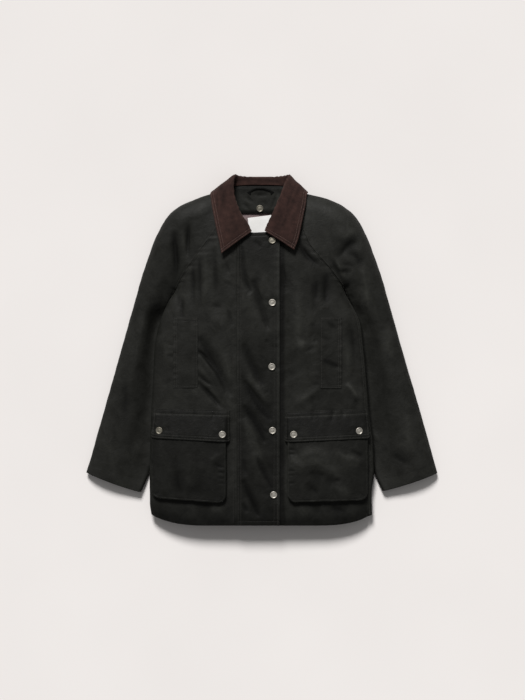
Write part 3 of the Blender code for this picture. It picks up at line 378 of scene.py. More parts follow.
def scaled(rows):
    """The creases with their depths by length and side, and their ridges softer than their troughs."""
    made = np.array(rows)
    length = np.hypot(made[:, 4] - made[:, 0], made[:, 5] - made[:, 1])
    made[:, 7] *= CREASE_SCALE * np.clip(length / CREASE_FULL, CREASE_LEAST, 1)
    made[made[:, 0] > LEFT_FROM, 7] *= LEFT_DEEPER
    ridge = made[:, 7] > 0
    made[ridge, 6] *= RIDGE_WIDER
    made[ridge, 7] *= RIDGE_LOWER
    return made


CREASES = scaled(CREASE_ROWS)


def crease_height(x, y):
    return fold_height(x, y, CREASES, 0.9, 1.4)


# ---------------------------------------------------------------- the body's sections
# y: x of the right and left edge, their heights, the crown's height, and how far each edge curls under
BODY_SECTIONS = {
    -400: (-247, 242, 17, 17, 39, 45, 45),
    -360: (-246.8, 242.5, 17, 17, 41, 45, 45),
    -320: (-246.8, 241.5, 17, 17, 43, 46, 46),
    -272: (-246.8, 246.5, 18, 18, 46, 50, 50),
    -198: (-245.5, 245.0, 20, 20, 49, 62, 62),
    -134: (-243.0, 236.5, 22, 22, 52, 72, 72),
    -44: (-238.7, 229.0, 24, 24, 56, 80, 80),
    20: (-234.0, 222.0, 24, 24, 59, 80, 80),
    66: (-222.8, 215.0, 24, 24, 60, 80, 80),
    104: (-206.5, 194.0, 24, 24, 60, 76, 76),
    135: (-188.5, 179.0, 24, 24, 60, 72, 72),
    165: (-190, 182, 22, 22, 60, 70, 70),
    200: (-200, 192, 20, 20, 59, 70, 70),
    240: (-208, 200, 18, 18, 55, 70, 70),
    280: (-208, 200, 16, 16, 49, 70, 70),
    322: (-196, 188, 15, 15, 40, 60, 60),
    365: (-170, 160, 14, 14, 30, 50, 50),
}
ARCH_FLATNESS = 3.4
BED_HEIGHT = 3.4
BED_FROM_Y, BED_TO_Y = 302.0, 319.0
RING_Y = np.arange(-400, 365.1, 2.5)
RING_REACH = 540.0
RING_STEP = 1.5
RING_ACROSS = np.arange(-RING_REACH, RING_REACH + 1, RING_STEP)


def bed_height(y):
    return BED_HEIGHT * ease_both((y - BED_FROM_Y) / (BED_TO_Y - BED_FROM_Y))


def body_half(y, side):
    """Half a section at y, from the opening over the top, round the edge and under."""
    right, left, right_rise, left_rise, crown, right_lift, left_lift = read_rows(BODY_SECTIONS, y)
    centre, half = (left + right) / 2, (left - right) / 2
    edge_z, lift = (right_rise, right_lift) if side < 0 else (left_rise, left_lift)
    start = side * (OPENING_X - centre) / half
    reach = np.sin(np.linspace(math.asin(start), math.pi / 2, 90))
    top_x = centre + side * half * reach
    top_z = edge_z + (crown - edge_z) * np.sqrt(np.clip(1 - np.abs(reach) ** ARCH_FLATNESS, 0, 1))
    curl = np.cos(np.linspace(0, math.pi / 2, 40))[1:]
    under_x = centre + side * (half - lift * (1 - curl))
    bed = bed_height(y)
    under_z = bed + (edge_z - bed) * (1 - np.sqrt(1 - curl**2))
    flat_x = np.linspace(under_x[-1], OPENING_X, 20)[1:]
    x = np.concatenate([top_x, under_x, flat_x])
    z = np.concatenate([top_z, under_z, np.full(len(flat_x), bed)])
    return np.stack([x, z], axis=1), len(reach) - 1


def body_table():
    """Points of the body's outer side over RING_Y and RING_ACROSS, and how far across each edge is."""
    table = np.zeros((len(RING_Y), len(RING_ACROSS), 3))
    edges = {"right": [], "left": []}
    for j, y in enumerate(RING_Y):
        halves = {}
        for name, side in SIDES.items():
            line, edge = body_half(y, side)
            away = along_line(line)
            edges[name].append(side * away[edge])
            halves[name] = (side * away, line)
        across = np.concatenate([halves["right"][0][:0:-1], halves["left"][0]])
        line = np.concatenate([halves["right"][1][:0:-1], halves["left"][1]])
        x = np.interp(RING_ACROSS, across, line[:, 0])
        z = np.interp(RING_ACROSS, across, line[:, 1])
        slope_x, slope_z = np.gradient(x), np.gradient(z)
        length = np.maximum(np.hypot(slope_x, slope_z), 1e-6)
        on_top = (RING_ACROSS > edges["right"][-1]) & (RING_ACROSS < edges["left"][-1])
        inside = np.minimum(RING_ACROSS - edges["right"][-1], edges["left"][-1] - RING_ACROSS)
        lift = np.where(on_top, fold_height(x, np.full(len(x), y)) * ease_both(inside / 30), 0)
        table[j, :, 0] = x - slope_z / length * lift
        table[j, :, 1] = y
        table[j, :, 2] = z + slope_x / length * lift
    return table, {name: np.array(found) for name, found in edges.items()}


def read_table(table, across_knots, along_knots, across, along):
    """Points of a table between its knots, blended from the four round each place."""
    i = np.clip(np.searchsorted(across_knots, across) - 1, 0, len(across_knots) - 2)
    j = np.clip(np.searchsorted(along_knots, along) - 1, 0, len(along_knots) - 2)
    s = ((across - across_knots[i]) / (across_knots[i + 1] - across_knots[i]))[..., None]
    t = ((along - along_knots[j]) / (along_knots[j + 1] - along_knots[j]))[..., None]
    low = table[j, i] * (1 - s) + table[j, i + 1] * s
    high = table[j + 1, i] * (1 - s) + table[j + 1, i + 1] * s
    return low * (1 - t) + high * t


def normals_of(surface, across, along, step_across, step_along, sign):
    """Unit normals of surface(across, along), by differences over the steps."""
    right = surface(across + step_across, along) - surface(across - step_across, along)
    ahead = surface(across, along + step_along) - surface(across, along - step_along)
    normal = sign * np.cross(right, ahead)
    return normal / np.maximum(np.linalg.norm(normal, axis=-1, keepdims=True), 1e-9)


BODY_TABLE, BODY_EDGES = body_table()


def body(across, along):
    """The body's outer side: across is the distance round it from the opening, along is y."""
    return read_table(BODY_TABLE, RING_ACROSS, RING_Y, np.asarray(across, float), np.asarray(along, float))


def body_normal(across, along):
    return normals_of(body, np.asarray(across, float), np.asarray(along, float), 1.5, 2.5, 1)


def body_edge(side_name, y):
    return np.interp(y, RING_Y, BODY_EDGES[side_name])


def across_at(x, y):
    """Distance across, on the upper side, of the point over x at y."""
    reach = np.linspace(body_edge("right", y), body_edge("left", y), 700)
    found = body(reach, np.full(len(reach), y))
    return float(np.interp(x, found[:, 0], reach))


def across_under(x, y):
    """Distance across, on the underside, of the point under x at y."""
    side_name = "right" if x < OPENING_X else "left"
    side = SIDES[side_name]
    reach = body_edge(side_name, y) + side * np.linspace(0, 260, 500)
    found = body(reach, np.full(len(reach), y))
    order = np.argsort(found[:, 0])
    return float(np.interp(x, found[order, 0], reach[order]))


def edge_inside(across, along):
    """How far inside the body's side edges a place of the upper side is."""
    return np.minimum(across - body_edge("right", along), body_edge("left", along) - across)


# ---------------------------------------------------------------- the sleeves' sections
# share of the way down the raglan: x, y on the front; x, y, z of the outer edge; x, y on the back;
# height of the top
RAGLAN_ROWS = {
    "right": {
        0.0: (-66, 322, -84, 349, 15, -64, 346, 32),
        0.15: (-84, 294, -116, 342, 15, -80, 322, 38),
        0.3: (-99, 270, -150, 330, 14, -96, 292, 44),
        0.45: (-114, 248, -187, 312.4, 13, -112, 262, 47),
        0.6: (-130, 226, -213, 286, 13, -129, 235, 47),
        0.72: (-146, 204, -232.5, 250, 13, -146, 211, 45),
        0.86: (-168.5, 172, -249, 206, 13, -168, 178, 41),
        1.0: (-189.2, 132, -262.5, 167, 13, -189.2, 132, 37),
    },
    "left": {
        0.0: (62, 322, 74, 349, 15, 54, 346, 32),
        0.15: (75, 294, 105, 342, 15, 71, 322, 38),
        0.3: (88, 268.4, 150, 330, 14, 87, 292, 44),
        0.45: (100.5, 239, 184.4, 312.4, 13, 102, 258, 47),
        0.6: (114.5, 218, 211, 286, 13, 117, 229, 47),
        0.72: (130, 200.5, 231, 249, 13, 132, 210, 45),
        0.86: (154.5, 172, 247.5, 205, 13, 155, 178, 41),
        1.0: (178.2, 138.6, 261.2, 167, 13, 178.2, 138.6, 37),
    },
}
# and down the arm: x, y, z of the underarm; x, y, z of the outer edge; height of the top; and how far it's
# flat from the underarm
UNDERARM_ROWS = {
    "right": {
        1.0: (-189.2, 132, 24, -262.5, 167, 13, 37, 0),
        1.06: (-199.5, 113, 17, -269.5, 143, 13, 36, 0),
        1.12: (-205, 96, 11, -274.3, 126, 13, 35, 2),
        1.2: (-213, 76, 5.5, -281.1, 102, 13, 34, 8),
        1.3: (-217, 50, 3.4, -289.6, 72, 12, 33, 14),
        1.45: (-220, 8, 3.2, -301.4, 30, 12, 32, 18),
        1.6: (-223, -60, 3.2, -321.8, -42, 11, 31, 18),
        1.75: (-227, -135, 3.2, -341.5, -112, 11, 29, 18),
        1.87: (-234, -205, 3.2, -359.3, -175, 10, 27, 14),
        1.955: (-247.5, -271, 4.5, -377.7, -240, 9, 24, 4),
        2.0: (-266.2, -313.3, 8, -387.2, -269.7, 9, 22, 0),
    },
    "left": {
        1.0: (178.2, 138.6, 24, 261.2, 167, 13, 37, 0),
        1.06: (186.8, 119, 16, 268.2, 143, 13, 36, 0),
        1.12: (193, 102, 10, 273, 126, 13, 35, 2),
        1.2: (200, 82, 5.5, 279.9, 102, 13, 34, 8),
        1.3: (204, 55, 3.4, 288.5, 72, 12, 33, 14),
        1.45: (207, 10, 3.2, 300.5, 30, 12, 32, 18),
        1.6: (213, -60, 3.2, 321.1, -42, 11, 31, 18),
        1.75: (220, -135, 3.2, 341.2, -112, 11, 29, 18),
        1.87: (232, -200, 3.2, 359.2, -175, 10, 27, 14),
        1.955: (247, -271, 4.5, 377.6, -240, 9, 24, 4),
        2.0: (265.3, -310.9, 8, 386.3, -271, 9, 22, 0),
    },
}
CUFF_BOW = 3.0
OUTER_ROUND = 42.0
UNDER_ROUND = 16.0
LIP_ROUND = 7.0
SLEEVE_ALONG = np.linspace(0, 2, 241)
SLEEVE_ACROSS = np.linspace(0, 2, 301)


def bowed(start, out, share, bow):
    """Places on the way out from start, bowed towards the hand."""
    plan = start + share[:, None] * out
    plan[:, 1] -= bow * 4 * share * (1 - share)
    return plan


def sleeve_section(name, share):
    """A section from the front seam (0) over the outer edge (1) and under to the back seam (2)."""
    if share < 1:
        row = read_rows(RAGLAN_ROWS[name], share)
        front, outer, back = row[0:2], row[2:5], row[5:7]
        front_z = float(body(across_at(front[0], front[1]), front[1])[2])
        back_z = float(body(across_under(back[0], back[1]), back[1])[2])
        height, flat, lip = row[7], 0.0, 0.0
    else:
        row = read_rows(UNDERARM_ROWS[name], share)
        front, outer, back = row[0:2], row[3:6], row[0:2]
        front_z = back_z = row[2]
        height, flat = row[6], row[7]
        lip = row[2] * ease_both((share - 1) / 0.2)
    closing = ease_both((share - 1) / 0.25)
    bow = CUFF_BOW * ease_both((share - 1.9) / 0.1)

    out = outer[:2] - front
    width = math.hypot(*out)
    s = width * np.sin(np.linspace(0, math.pi / 2, 150))
    rise = (s - flat) / (0.62 * width - flat)
    climb = ease_out(rise) * (1 - closing) + ease_both(rise) * closing
    start_z = front_z + lip * quarter_round(s / LIP_ROUND)
    turned = quarter_round((width - s) / min(OUTER_ROUND, 0.7 * width))
    top_z = outer[2] + (start_z + (height - start_z) * climb - outer[2]) * turned
    plan = bowed(front, out, s / width, bow)
    inside = np.minimum(width - s, s + 60 * (1 - closing))
    top_z = top_z + fold_height(plan[:, 0], plan[:, 1]) * ease_both(inside / 30)
    top = np.column_stack([plan, top_z])

    back_out = outer[:2] - back
    back_width = math.hypot(*back_out)
    s = back_width * np.sin(np.linspace(math.pi / 2, 0, 150))
    bed = bed_height(back[1] + (s / back_width) * back_out[1])
    edge_turn = 1 - quarter_round((back_width - s) / min(UNDER_ROUND, 0.4 * back_width))
    seam_turn = (1 - ease_out(s / 40)) * (1 - closing) + (1 - quarter_round(s / LIP_ROUND)) * closing
    under_z = bed + (outer[2] - bed) * edge_turn + (back_z - bed) * seam_turn
    under = np.column_stack([bowed(back, back_out, s / back_width, bow), under_z])

    halves = []
    for line in (top, under):
        away = along_line(line)
        even = np.linspace(0, away[-1], len(SLEEVE_ACROSS) // 2 + 1)
        halves.append(np.stack([np.interp(even, away, line[:, k]) for k in range(3)], axis=1))
    return np.concatenate([halves[0], halves[1][1:]])


def sleeve_table(name):
    """The sleeve's sections, with the turn where the armpit closes eased along the sleeve."""
    table = np.stack([sleeve_section(name, share) for share in SLEEVE_ALONG])
    eased = table[:, :, 2].copy()
    for _ in range(30):
        eased[1:-1] = 0.25 * eased[:-2] + 0.5 * eased[1:-1] + 0.25 * eased[2:]
    by_armpit = np.exp(-(((SLEEVE_ALONG - 1) / 0.07) ** 2))[:, None]
    from_seam = ease_both(np.minimum(SLEEVE_ACROSS, 2 - SLEEVE_ACROSS) / 0.25)[None, :]
    table[:, :, 2] += (eased - table[:, :, 2]) * by_armpit * from_seam
    return table


SLEEVE_TABLES = {name: sleeve_table(name) for name in SIDES}


def sleeve(name):
    def surface(across, along):
        across, along = np.asarray(across, float), np.asarray(along, float)
        closed = along >= 1
        across = np.where(closed & (across < 0), across + 2, across)
        across = np.where(closed & (across > 2), across - 2, across)
        return read_table(SLEEVE_TABLES[name], SLEEVE_ACROSS, SLEEVE_ALONG, across, along)

    return surface


# ---------------------------------------------------------------- grids
SEAM_STITCH = 2.6
BORDER = (0.0, 0.2, 0.55, 1.1)  # rows this close to an edge round it
GROOVE = (-1.2, -0.6, 0.0, 0.6, 1.2)  # rows round a line of stitches
GROOVE_WIDTH = 1.1


def near(*stitch_rows):
    """Distances from an edge where a grid needs close rows."""
    found = list(BORDER)
    for row in stitch_rows:
        found += [row + step for step in GROOVE]
    return np.array(found)


def stitched(axis, first, last):
    """Axis and row of the lines of stitches that a grid made with near() has at its first and last edges."""
    rows = len(BORDER) + len(GROOVE) // 2 + len(GROOVE) * np.arange(max(first, last))
    return [(axis, row) for row in rows[:first]] + [(axis, -1 - row) for row in rows[:last]]


def spaced(lengths, start, end, count):
    """Distances along lines of these lengths: some fixed ones from both ends, and count even ones between."""
    lengths = np.asarray(lengths, float)[..., None]
    first = start * np.ones_like(lengths)
    last = lengths - end[::-1]
    share = np.linspace(0, 1, count + 2)[1:-1]
    middle = first[..., -1:] + (last[..., :1] - first[..., -1:]) * share
    return np.concatenate([first, middle, last], axis=-1)


def groove(distance, row, depth=0.4):
    """A line of stitches draws the cloth down by this much."""
    return -depth * np.exp(-(((distance - row) / GROOVE_WIDTH) ** 2))


def pucker(along, distance, seed, depth, reach, length=4.6):
    """Small gathers along a sewn line, which fade with the distance from it."""
    return depth * lattice(along, 0.22 * distance, length, seed) * np.exp(-((distance / reach) ** 2))


# ---------------------------------------------------------------- stitches
STITCH_PITCH = 3.3
STITCH_SIDES = 5
# length along, width, height over the cloth: the rings of one stitch
STITCH_RINGS = ((-1.3, 0.16, -0.2), (-0.85, 0.42, 0.12), (0.85, 0.42, 0.12), (1.3, 0.16, -0.2))
SEWN = {"thread": [], "brown_thread": []}


def sew(thread, line, up, trim=1.5):
    """Notes a stitch at every pitch along a line of points of a cloth's face."""
    away = along_line(line)
    places = np.arange(trim + STITCH_PITCH / 2, away[-1] - trim, STITCH_PITCH)
    reach = STITCH_PITCH / 2
    centre, before, after, high = (
        np.stack([np.interp(at, away, values[:, k]) for k in range(3)], axis=1)
        for at, values in ((places, line), (places - reach, line), (places + reach, line), (places, up))
    )
    SEWN[thread].append(np.stack([centre, after - before, high], axis=1))


def unit(vectors):
    return vectors / np.linalg.norm(vectors, axis=-1, keepdims=True)


def ring_faces(rings, count, first=0, closed=True):
    """Faces between rings of count points each, from the point first on."""
    starts = range(first, first + count * (rings - 1), count)
    pairs = [(k, (k + 1) % count) for k in range(count if closed else count - 1)]
    return [(a + at, b + at, b + at + count, a + at + count) for at in starts for a, b in pairs]


def add_stitches(thread):
    found = np.concatenate(SEWN[thread])
    centre, ahead = found[:, 0], unit(found[:, 1])
    sideways = unit(np.cross(found[:, 2], ahead))
    up = np.cross(ahead, sideways)
    points = []
    for along, width, height in STITCH_RINGS:
        for k in range(STITCH_SIDES):
            turn = 2 * math.pi * (k + 0.25) / STITCH_SIDES
            out = width * math.cos(turn)
            rise = height + 0.75 * width * math.sin(turn)
            points.append(centre + ahead * along + sideways * out + up * rise)
    points = np.stack(points, axis=1)
    last = (len(STITCH_RINGS) - 1) * STITCH_SIDES
    one = ring_faces(len(STITCH_RINGS), STITCH_SIDES)
    one += [tuple(range(STITCH_SIDES))[::-1], tuple(range(last, last + STITCH_SIDES))]
    faces = []
    for first in range(0, points.shape[0] * points.shape[1], points.shape[1]):
        faces += [tuple(first + corner for corner in face) for face in one]
    made = make_object(f"{thread}_stitches", points.reshape(-1, 3), faces, (thread,))


# ---------------------------------------------------------------- materials
WAX_WARM = 0.985  # red of the waxed cloth, as a share of its green
WAX_BLUE = (0.86, 0.89)  # and blue, in its dark and its light parts


def link(tree, kind, values=None, links=None):
    """A node of that kind with values on its sockets and links from other nodes' sockets."""
    made = tree.nodes.new(kind)
    for key, value in (values or {}).items():
        if key in made.inputs:
            made.inputs[key].default_value = value
        else:
            setattr(made, key, value)
    for key, source in (links or {}).items():
        tree.links.new(source, made.inputs[key])
    return made


def ramp(tree, source, *stops):
    """A colour by the source: each stop is a place, and a colour or a grey."""
    made = link(tree, "ShaderNodeValToRGB", links={"Fac": source})
    elements = made.color_ramp.elements
    while len(elements) < len(stops):
        elements.new(0.5)
    for element, (place, colour) in zip(elements, stops):
        element.position = place
        element.color = (*colour, 1) if np.ndim(colour) else (colour, colour, colour, 1)
    return made.outputs["Color"]


def new_material(name, values):
    """A material with those values on its shader, and the place on the object that its patterns follow."""
    made = bpy.data.materials.new(name)
    made.use_nodes = True
    tree = made.node_tree
    shader = tree.nodes["Principled BSDF"]
    for key, value in values.items():
        shader.inputs[key].default_value = value
    return made, tree, shader, tree.nodes.new("ShaderNodeTexCoord").outputs["Object"]


def noise(tree, place, scale, detail, rough=0.5, distort=0.0):
    values = {"Scale": scale, "Detail": detail, "Roughness": rough, "Distortion": distort}
    return link(tree, "ShaderNodeTexNoise", values, {"Vector": place}).outputs["Fac"]


def bump(tree, height, strength, distance, before=None):
    links = {"Height": height} if before is None else {"Height": height, "Normal": before}
    return link(tree, "ShaderNodeBump", {"Strength": strength, "Distance": distance}, links).outputs["Normal"]


def roughen(tree, shader, place, layers, normal=None):
    """Noise raised over noise: scale, detail, roughness, distortion, strength and depth in metres of each."""
    for scale, detail, rough, distort, strength, depth in layers:
        normal = bump(tree, noise(tree, place, scale, detail, rough, distort), strength, depth, normal)
    tree.links.new(normal, shader.inputs["Normal"])


def multiplied(tree, one, other):
    made = link(tree, "ShaderNodeMix", {"data_type": "RGBA", "blend_type": "MULTIPLY"})
    made.inputs["Factor"].default_value = 1.0
    tree.links.new(one, made.inputs[6])
    tree.links.new(other, made.inputs[7])
    return made.outputs[2]


def attribute(tree, name):
    return link(tree, "ShaderNodeAttribute", {"attribute_name": name}).outputs["Fac"]


def as_share(tree, value):
    """A value from -1 to 1, as a share from 0 to 1."""
    made = link(tree, "ShaderNodeMapRange", {"From Min": -1.0, "From Max": 1.0}, {"Value": value})
    return made.outputs["Result"]


def by_wear_and_shading(tree, *stops):
    """A colour factor by the cloth's painted light and scuffing, from -1 in its troughs, painted darker as
    shade, to 1 on its edges and ridges, lighter as scuffed wax and painted highlight.
    """
    return ramp(tree, as_share(tree, attribute(tree, "wear_and_shading")), *stops)


def waxed_cotton(name, dark, light):
    made, tree, shader, place = new_material(name, {"Specular IOR Level": 0.09})
    low, high = ((green * WAX_WARM, green, green * blue) for green, blue in zip((dark, light), WAX_BLUE))
    colour = ramp(tree, noise(tree, place, 42, 9, 0.74, 0.6), (0.32, low), (0.7, high))
    # painted shade in the troughs, and painted highlight with scuffing on the ridges and edges
    worn_and_shaded = by_wear_and_shading(tree, (0.0, 0.34), (0.5, 1.0), (0.8, 1.45), (1.0, 2.2))
    tree.links.new(multiplied(tree, colour, worn_and_shaded), shader.inputs["Base Color"])
    gloss = ramp(tree, noise(tree, place, 21, 4, 0.6), (0.35, 0.48), (0.65, 0.62))
    tree.links.new(gloss, shader.inputs["Roughness"])
    crackle = (95, 5, 0.66, 1.1, 0.55, 0.0014)
    grain = (330, 4, 0.6, 0.4, 0.4, 0.0006)
    weave = (1300, 2, 0.5, 0.0, 0.25, 0.00025)
    roughen(tree, shader, place, (crackle, grain, weave))
    return made


def corduroy(name):
    values = {
        "Roughness": 0.88,
        "Specular IOR Level": 0.15,
        "Sheen Weight": 0.12,
        "Sheen Roughness": 0.5,
        "Sheen Tint": (0.5, 0.36, 0.32, 1),
    }
    made, tree, shader, place = new_material(name, values)
    turns = link(tree, "ShaderNodeMath", {"operation": "SINE"}, {0: attribute(tree, "wale")})
    height = as_share(tree, turns.outputs["Value"])
    spots = noise(tree, place, 75, 6, 0.68)
    shade = ramp(tree, spots, (0.3, (0.0156, 0.0073, 0.006)), (0.7, (0.0395, 0.019, 0.0153)))
    # painted shade in the wale troughs and in the collar's creases, and painted highlight with scuffing on
    # its edges
    for other in (
        ramp(tree, height, (0.0, 0.45), (0.6, 1.0)),
        by_wear_and_shading(tree, (0.0, 0.6), (0.5, 1.0), (1.0, 1.9)),
        ramp(tree, attribute(tree, "rubbed"), (0.0, 0.72), (1.0, 1.3)),
    ):
        shade = multiplied(tree, shade, other)
    tree.links.new(shade, shader.inputs["Base Color"])
    nap = (700, 3, 0.5, 0.0, 0.35, 0.0003)
    roughen(tree, shader, place, (nap,), bump(tree, height, 0.55, 0.0006))
    return made


def plain_cloth(name, dark, light, roughness, specular=0.25, scale=420, spots=45, depth=0.0004):
    """A cloth with a fine weave and a slightly uneven colour."""
    made, tree, shader, place = new_material(name, {"Roughness": roughness, "Specular IOR Level": specular})
    colour = ramp(tree, noise(tree, place, spots, 5, 0.6), (0.35, dark), (0.68, light))
    tree.links.new(colour, shader.inputs["Base Color"])
    roughen(tree, shader, place, ((scale, 3, 0.5, 0.0, 0.3, depth),))
    return made


def metal(name, dark, light):
    made, tree, shader, place = new_material(name, {"Metallic": 0.7})
    spots = noise(tree, place, 260, 5, 0.6)
    tree.links.new(ramp(tree, spots, (0.35, dark), (0.62, light)), shader.inputs["Base Color"])
    tree.links.new(ramp(tree, spots, (0.3, 0.55), (0.7, 0.44)), shader.inputs["Roughness"])
    roughen(tree, shader, place, ((900, 4, 0.5, 0.0, 0.15, 0.0002),))
    return made


THREAD = {"scale": 2600, "spots": 300, "depth": 0.0001}
MATERIALS = {
    "waxed_cotton": waxed_cotton("waxed_cotton_look", 0.0092, 0.018),
    "waxed_pocket": waxed_cotton("waxed_pocket_look", 0.0054, 0.0108),
    "corduroy": corduroy("corduroy_look"),
    "lining": plain_cloth("lining_look", (0.135, 0.098, 0.099), (0.19, 0.141, 0.141), 0.72),
    "label_cloth": plain_cloth(
        "label_look", (0.81, 0.805, 0.79), (0.88, 0.875, 0.865), 0.8, 0.2, 900, 30, 0.0002
    ),
    "snap_metal": metal("snap_look", (0.25, 0.235, 0.2), (0.47, 0.45, 0.405)),
    "dull_metal": metal("dull_snap_look", (0.13, 0.12, 0.095), (0.25, 0.235, 0.19)),
    "thread": plain_cloth("thread_look", (0.022, 0.0215, 0.019), (0.036, 0.035, 0.031), 0.7, **THREAD),
    "brown_thread": plain_cloth(
        "brown_thread_look", (0.085, 0.053, 0.046), (0.125, 0.08, 0.069), 0.75, 0.2, **THREAD
    ),
}

# ---------------------------------------------------------------- making meshes
LINED = ("waxed_cotton", "lining")
FACED = 22.0  # a lined piece is faced with its own cloth this far in from its edges


def make_object(name, points, faces, materials, slots=None):
    mesh = bpy.data.meshes.new(name)
    mesh.from_pydata((np.asarray(points) * MM).tolist(), [], faces)
    for material in materials:
        mesh.materials.append(MATERIALS[material])
    if slots is not None:
        mesh.polygons.foreach_set("material_index", slots)
    mesh.shade_smooth()
    made = bpy.data.objects.new(name, mesh)
    bpy.context.scene.collection.objects.link(made)
    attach(made, "root")
    return made


def paint(obj, attributes):
    """Values at each point of the mesh, for its material to read."""
    for key, values in attributes.items():
        layer = obj.data.attributes.new(key, "FLOAT", "POINT")
        layer.data.foreach_set("value", values.astype(np.float32))


def worn_and_shaded(lift, edge, seed, edges=0.5):
    """How a cloth is coloured by its relief and its edges, uneven along both: its troughs painted darker as
    shade, its ridges and edges lighter as scuffed wax and painted highlight.
    """
    rows, columns = np.indices(edge.shape)
    uneven = 0.7 + 0.5 * lattice(columns * 1.0, rows * 1.0, 9, seed)
    return np.clip(0.32 * lift + edges * uneven * np.exp(-((edge / 1.9) ** 2)), -1, 1)


def shell(name, middle, normal, thickness, edge, materials, attributes, sewn=(), flip=False):
    """A closed wall round a grid of points: thickness along the normals, and rounded at its edges.

    edge is every point's distance from the nearest edge. sewn has the grid's axis and row of each
    line of stitches on its outer face.
    """
    rows, columns = middle.shape[:2]
    count = rows * columns
    half = thickness / 2
    swell = (half * quarter_round((edge + 0.02) / half))[..., None]
    outer, inner = middle + normal * swell, middle - normal * swell
    thread = "brown_thread" if materials[0] == "corduroy" else "thread"
    for axis, row in sewn:
        sew(thread, np.take(outer, row, axis=axis), np.take(normal, row, axis=axis))
    index = np.arange(count).reshape(rows, columns)
    a, b, c, d = index[:-1, :-1], index[:-1, 1:], index[1:, 1:], index[1:, :-1]
    quads = np.stack([a, b, c, d], axis=-1).reshape(-1, 4)
    back = quads[:, ::-1] + count
    rim = np.concatenate([index[0, :-1], index[:-1, -1], index[-1, :0:-1], index[:0:-1, 0]])
    after = np.roll(rim, -1)
    side = np.stack([rim, rim + count, after + count, after], axis=-1)
    faces = np.concatenate([quads, back, side])
    if flip:
        faces = faces[:, ::-1]
    points = np.concatenate([outer.reshape(-1, 3), inner.reshape(-1, 3)])
    slots = np.zeros(len(faces), np.int32)
    if len(materials) > 1:
        slots[len(quads) : 2 * len(quads)] = edge[:-1, :-1].ravel() > FACED
    made = make_object(name, points, faces.tolist(), materials, slots)
    paint(made, {key: np.concatenate([values.ravel()] * 2) for key, values in attributes.items()})
    return made


def panel(name, base, normal, lift, thickness, edge, wear_and_shading, sewn, materials=LINED, flip=False):
    """A waxed cloth with its outer face lift above the base."""
    middle = base + normal * (lift - thickness / 2)[..., None]
    return shell(name, middle, normal, thickness, edge, materials, {"wear_and_shading": wear_and_shading}, sewn, flip)


# ---------------------------------------------------------------- fronts, fly and back
FLY_END = {"right": 47.0, "left": 49.8}
SEAM_PAST_EDGE = {"right": 22.0, "left": -12.0}
NECKLINE = {
    "right": ((-8, 254), (-32, 260), (-46, 280), (-57, 302), (-66, 322)),
    "left": ((-8, 254), (14, 258), (30, 284), (46, 306), (62, 322)),
}
HEM_FLAT_X, HEM_SIDE_X = 120.0, 246.0
HEM_STITCH = 9.0
HEM_DROOP, DROOP_REACH = 3.5, 26.0
HEM_PAINTED_SHADE, SHADE_REACH = 0.75, 48.0  # painted shade, darker towards the hem
BESIDE_FLY = 8.0  # a line of stitches on the right front, from the fly
FLY_TROUGH, FLY_RIDGE = 5.8, 3.6  # and how the cloth lies between them
SIDE_LENGTH = 690.0  # about, from the hem to the neckline
SEAM_SWELL = 0.35  # cloth that is turned in at a seam ends this much fuller
FRONT_START, FRONT_SHORTER = 0.4, 0.5  # a front starts this far from the opening, and is this much narrower
QUIET_SEAM, QUIET_END = 12.0, 14.0  # creases fade this near to a seam or an end
RESTING = 8.0  # lower than this, a panel rests on what is below it


def hem_y(x):
    """The hem curves up towards both sides."""
    beyond = np.clip((np.abs(x) - HEM_FLAT_X) / (HEM_SIDE_X - HEM_FLAT_X), 0, 1)
    return HEM_Y + (HEM_CORNER_Y - HEM_Y) * beyond**2.6


def hem_droop(to_hem):
    """How far the upper side sinks towards its hem."""
    return HEM_DROOP * (1 - np.clip(to_hem / DROOP_REACH, 0, 1)) ** 2


# Painted shade: how much darker the cloth is painted near its hem.
def hem_painted_shade(to_hem):
    return HEM_PAINTED_SHADE * np.exp(-((to_hem / SHADE_REACH) ** 2))


def pressed(dent, height):
    """Dents, which only go inwards where the cloth rests."""
    return np.where(height < RESTING, -np.abs(dent), dent)


def seam_across(name, y):
    share = np.clip((ARMPIT_Y[name] - y) / 90, 0, 1)
    return body_edge(name, y) + SIDES[name] * SEAM_PAST_EDGE[name] * ease_both(share)


def side_line(name, shares, under=False):
    """Across and y at the side: up the side seam for shares to 2/3, then up the raglan seam."""
    across, along = [], []
    for share in shares:
        if share < 2 / 3:
            y = HEM_CORNER_Y + (ARMPIT_Y[name] - HEM_CORNER_Y) * share * 1.5
            across.append(seam_across(name, y))
        else:
            row = read_rows(RAGLAN_ROWS[name], 1 - (share - 2 / 3) * 3)
            x, y = row[5:7] if under else row[0:2]
            across.append(across_under(x, y) if under else across_at(x, y))
        along.append(y)
    return np.array(across), np.array(along)


# What lies on the fronts covers these parts of the plan: the fronts are kept smooth there.
# low x, high x, low y, high y
COVERED = (
    (-58, 42, -400, 262),
    (-236, -80, -332, -136),
    (58, 228, -330, -138),
    (-192, -142, -82, 69),
    (129, 172, -83, 70),
)


def bare(x, y):
    """1 where the fronts show, 0 under what lies on them."""
    shown = np.ones(np.shape(x))
    for low_x, high_x, low_y, high_y in COVERED:
        inside = least(x - low_x, high_x - x, y - low_y, high_y - y)
        shown = shown * (1 - ease_both((inside + 2) / 6))
    return shown


def line_at(place, columns, grid):
    """A line along a grid: where each of its rows is at that place among its columns."""
    return np.array([[np.interp(place, at, row[:, k]) for k in range(3)] for at, row in zip(columns, grid)])


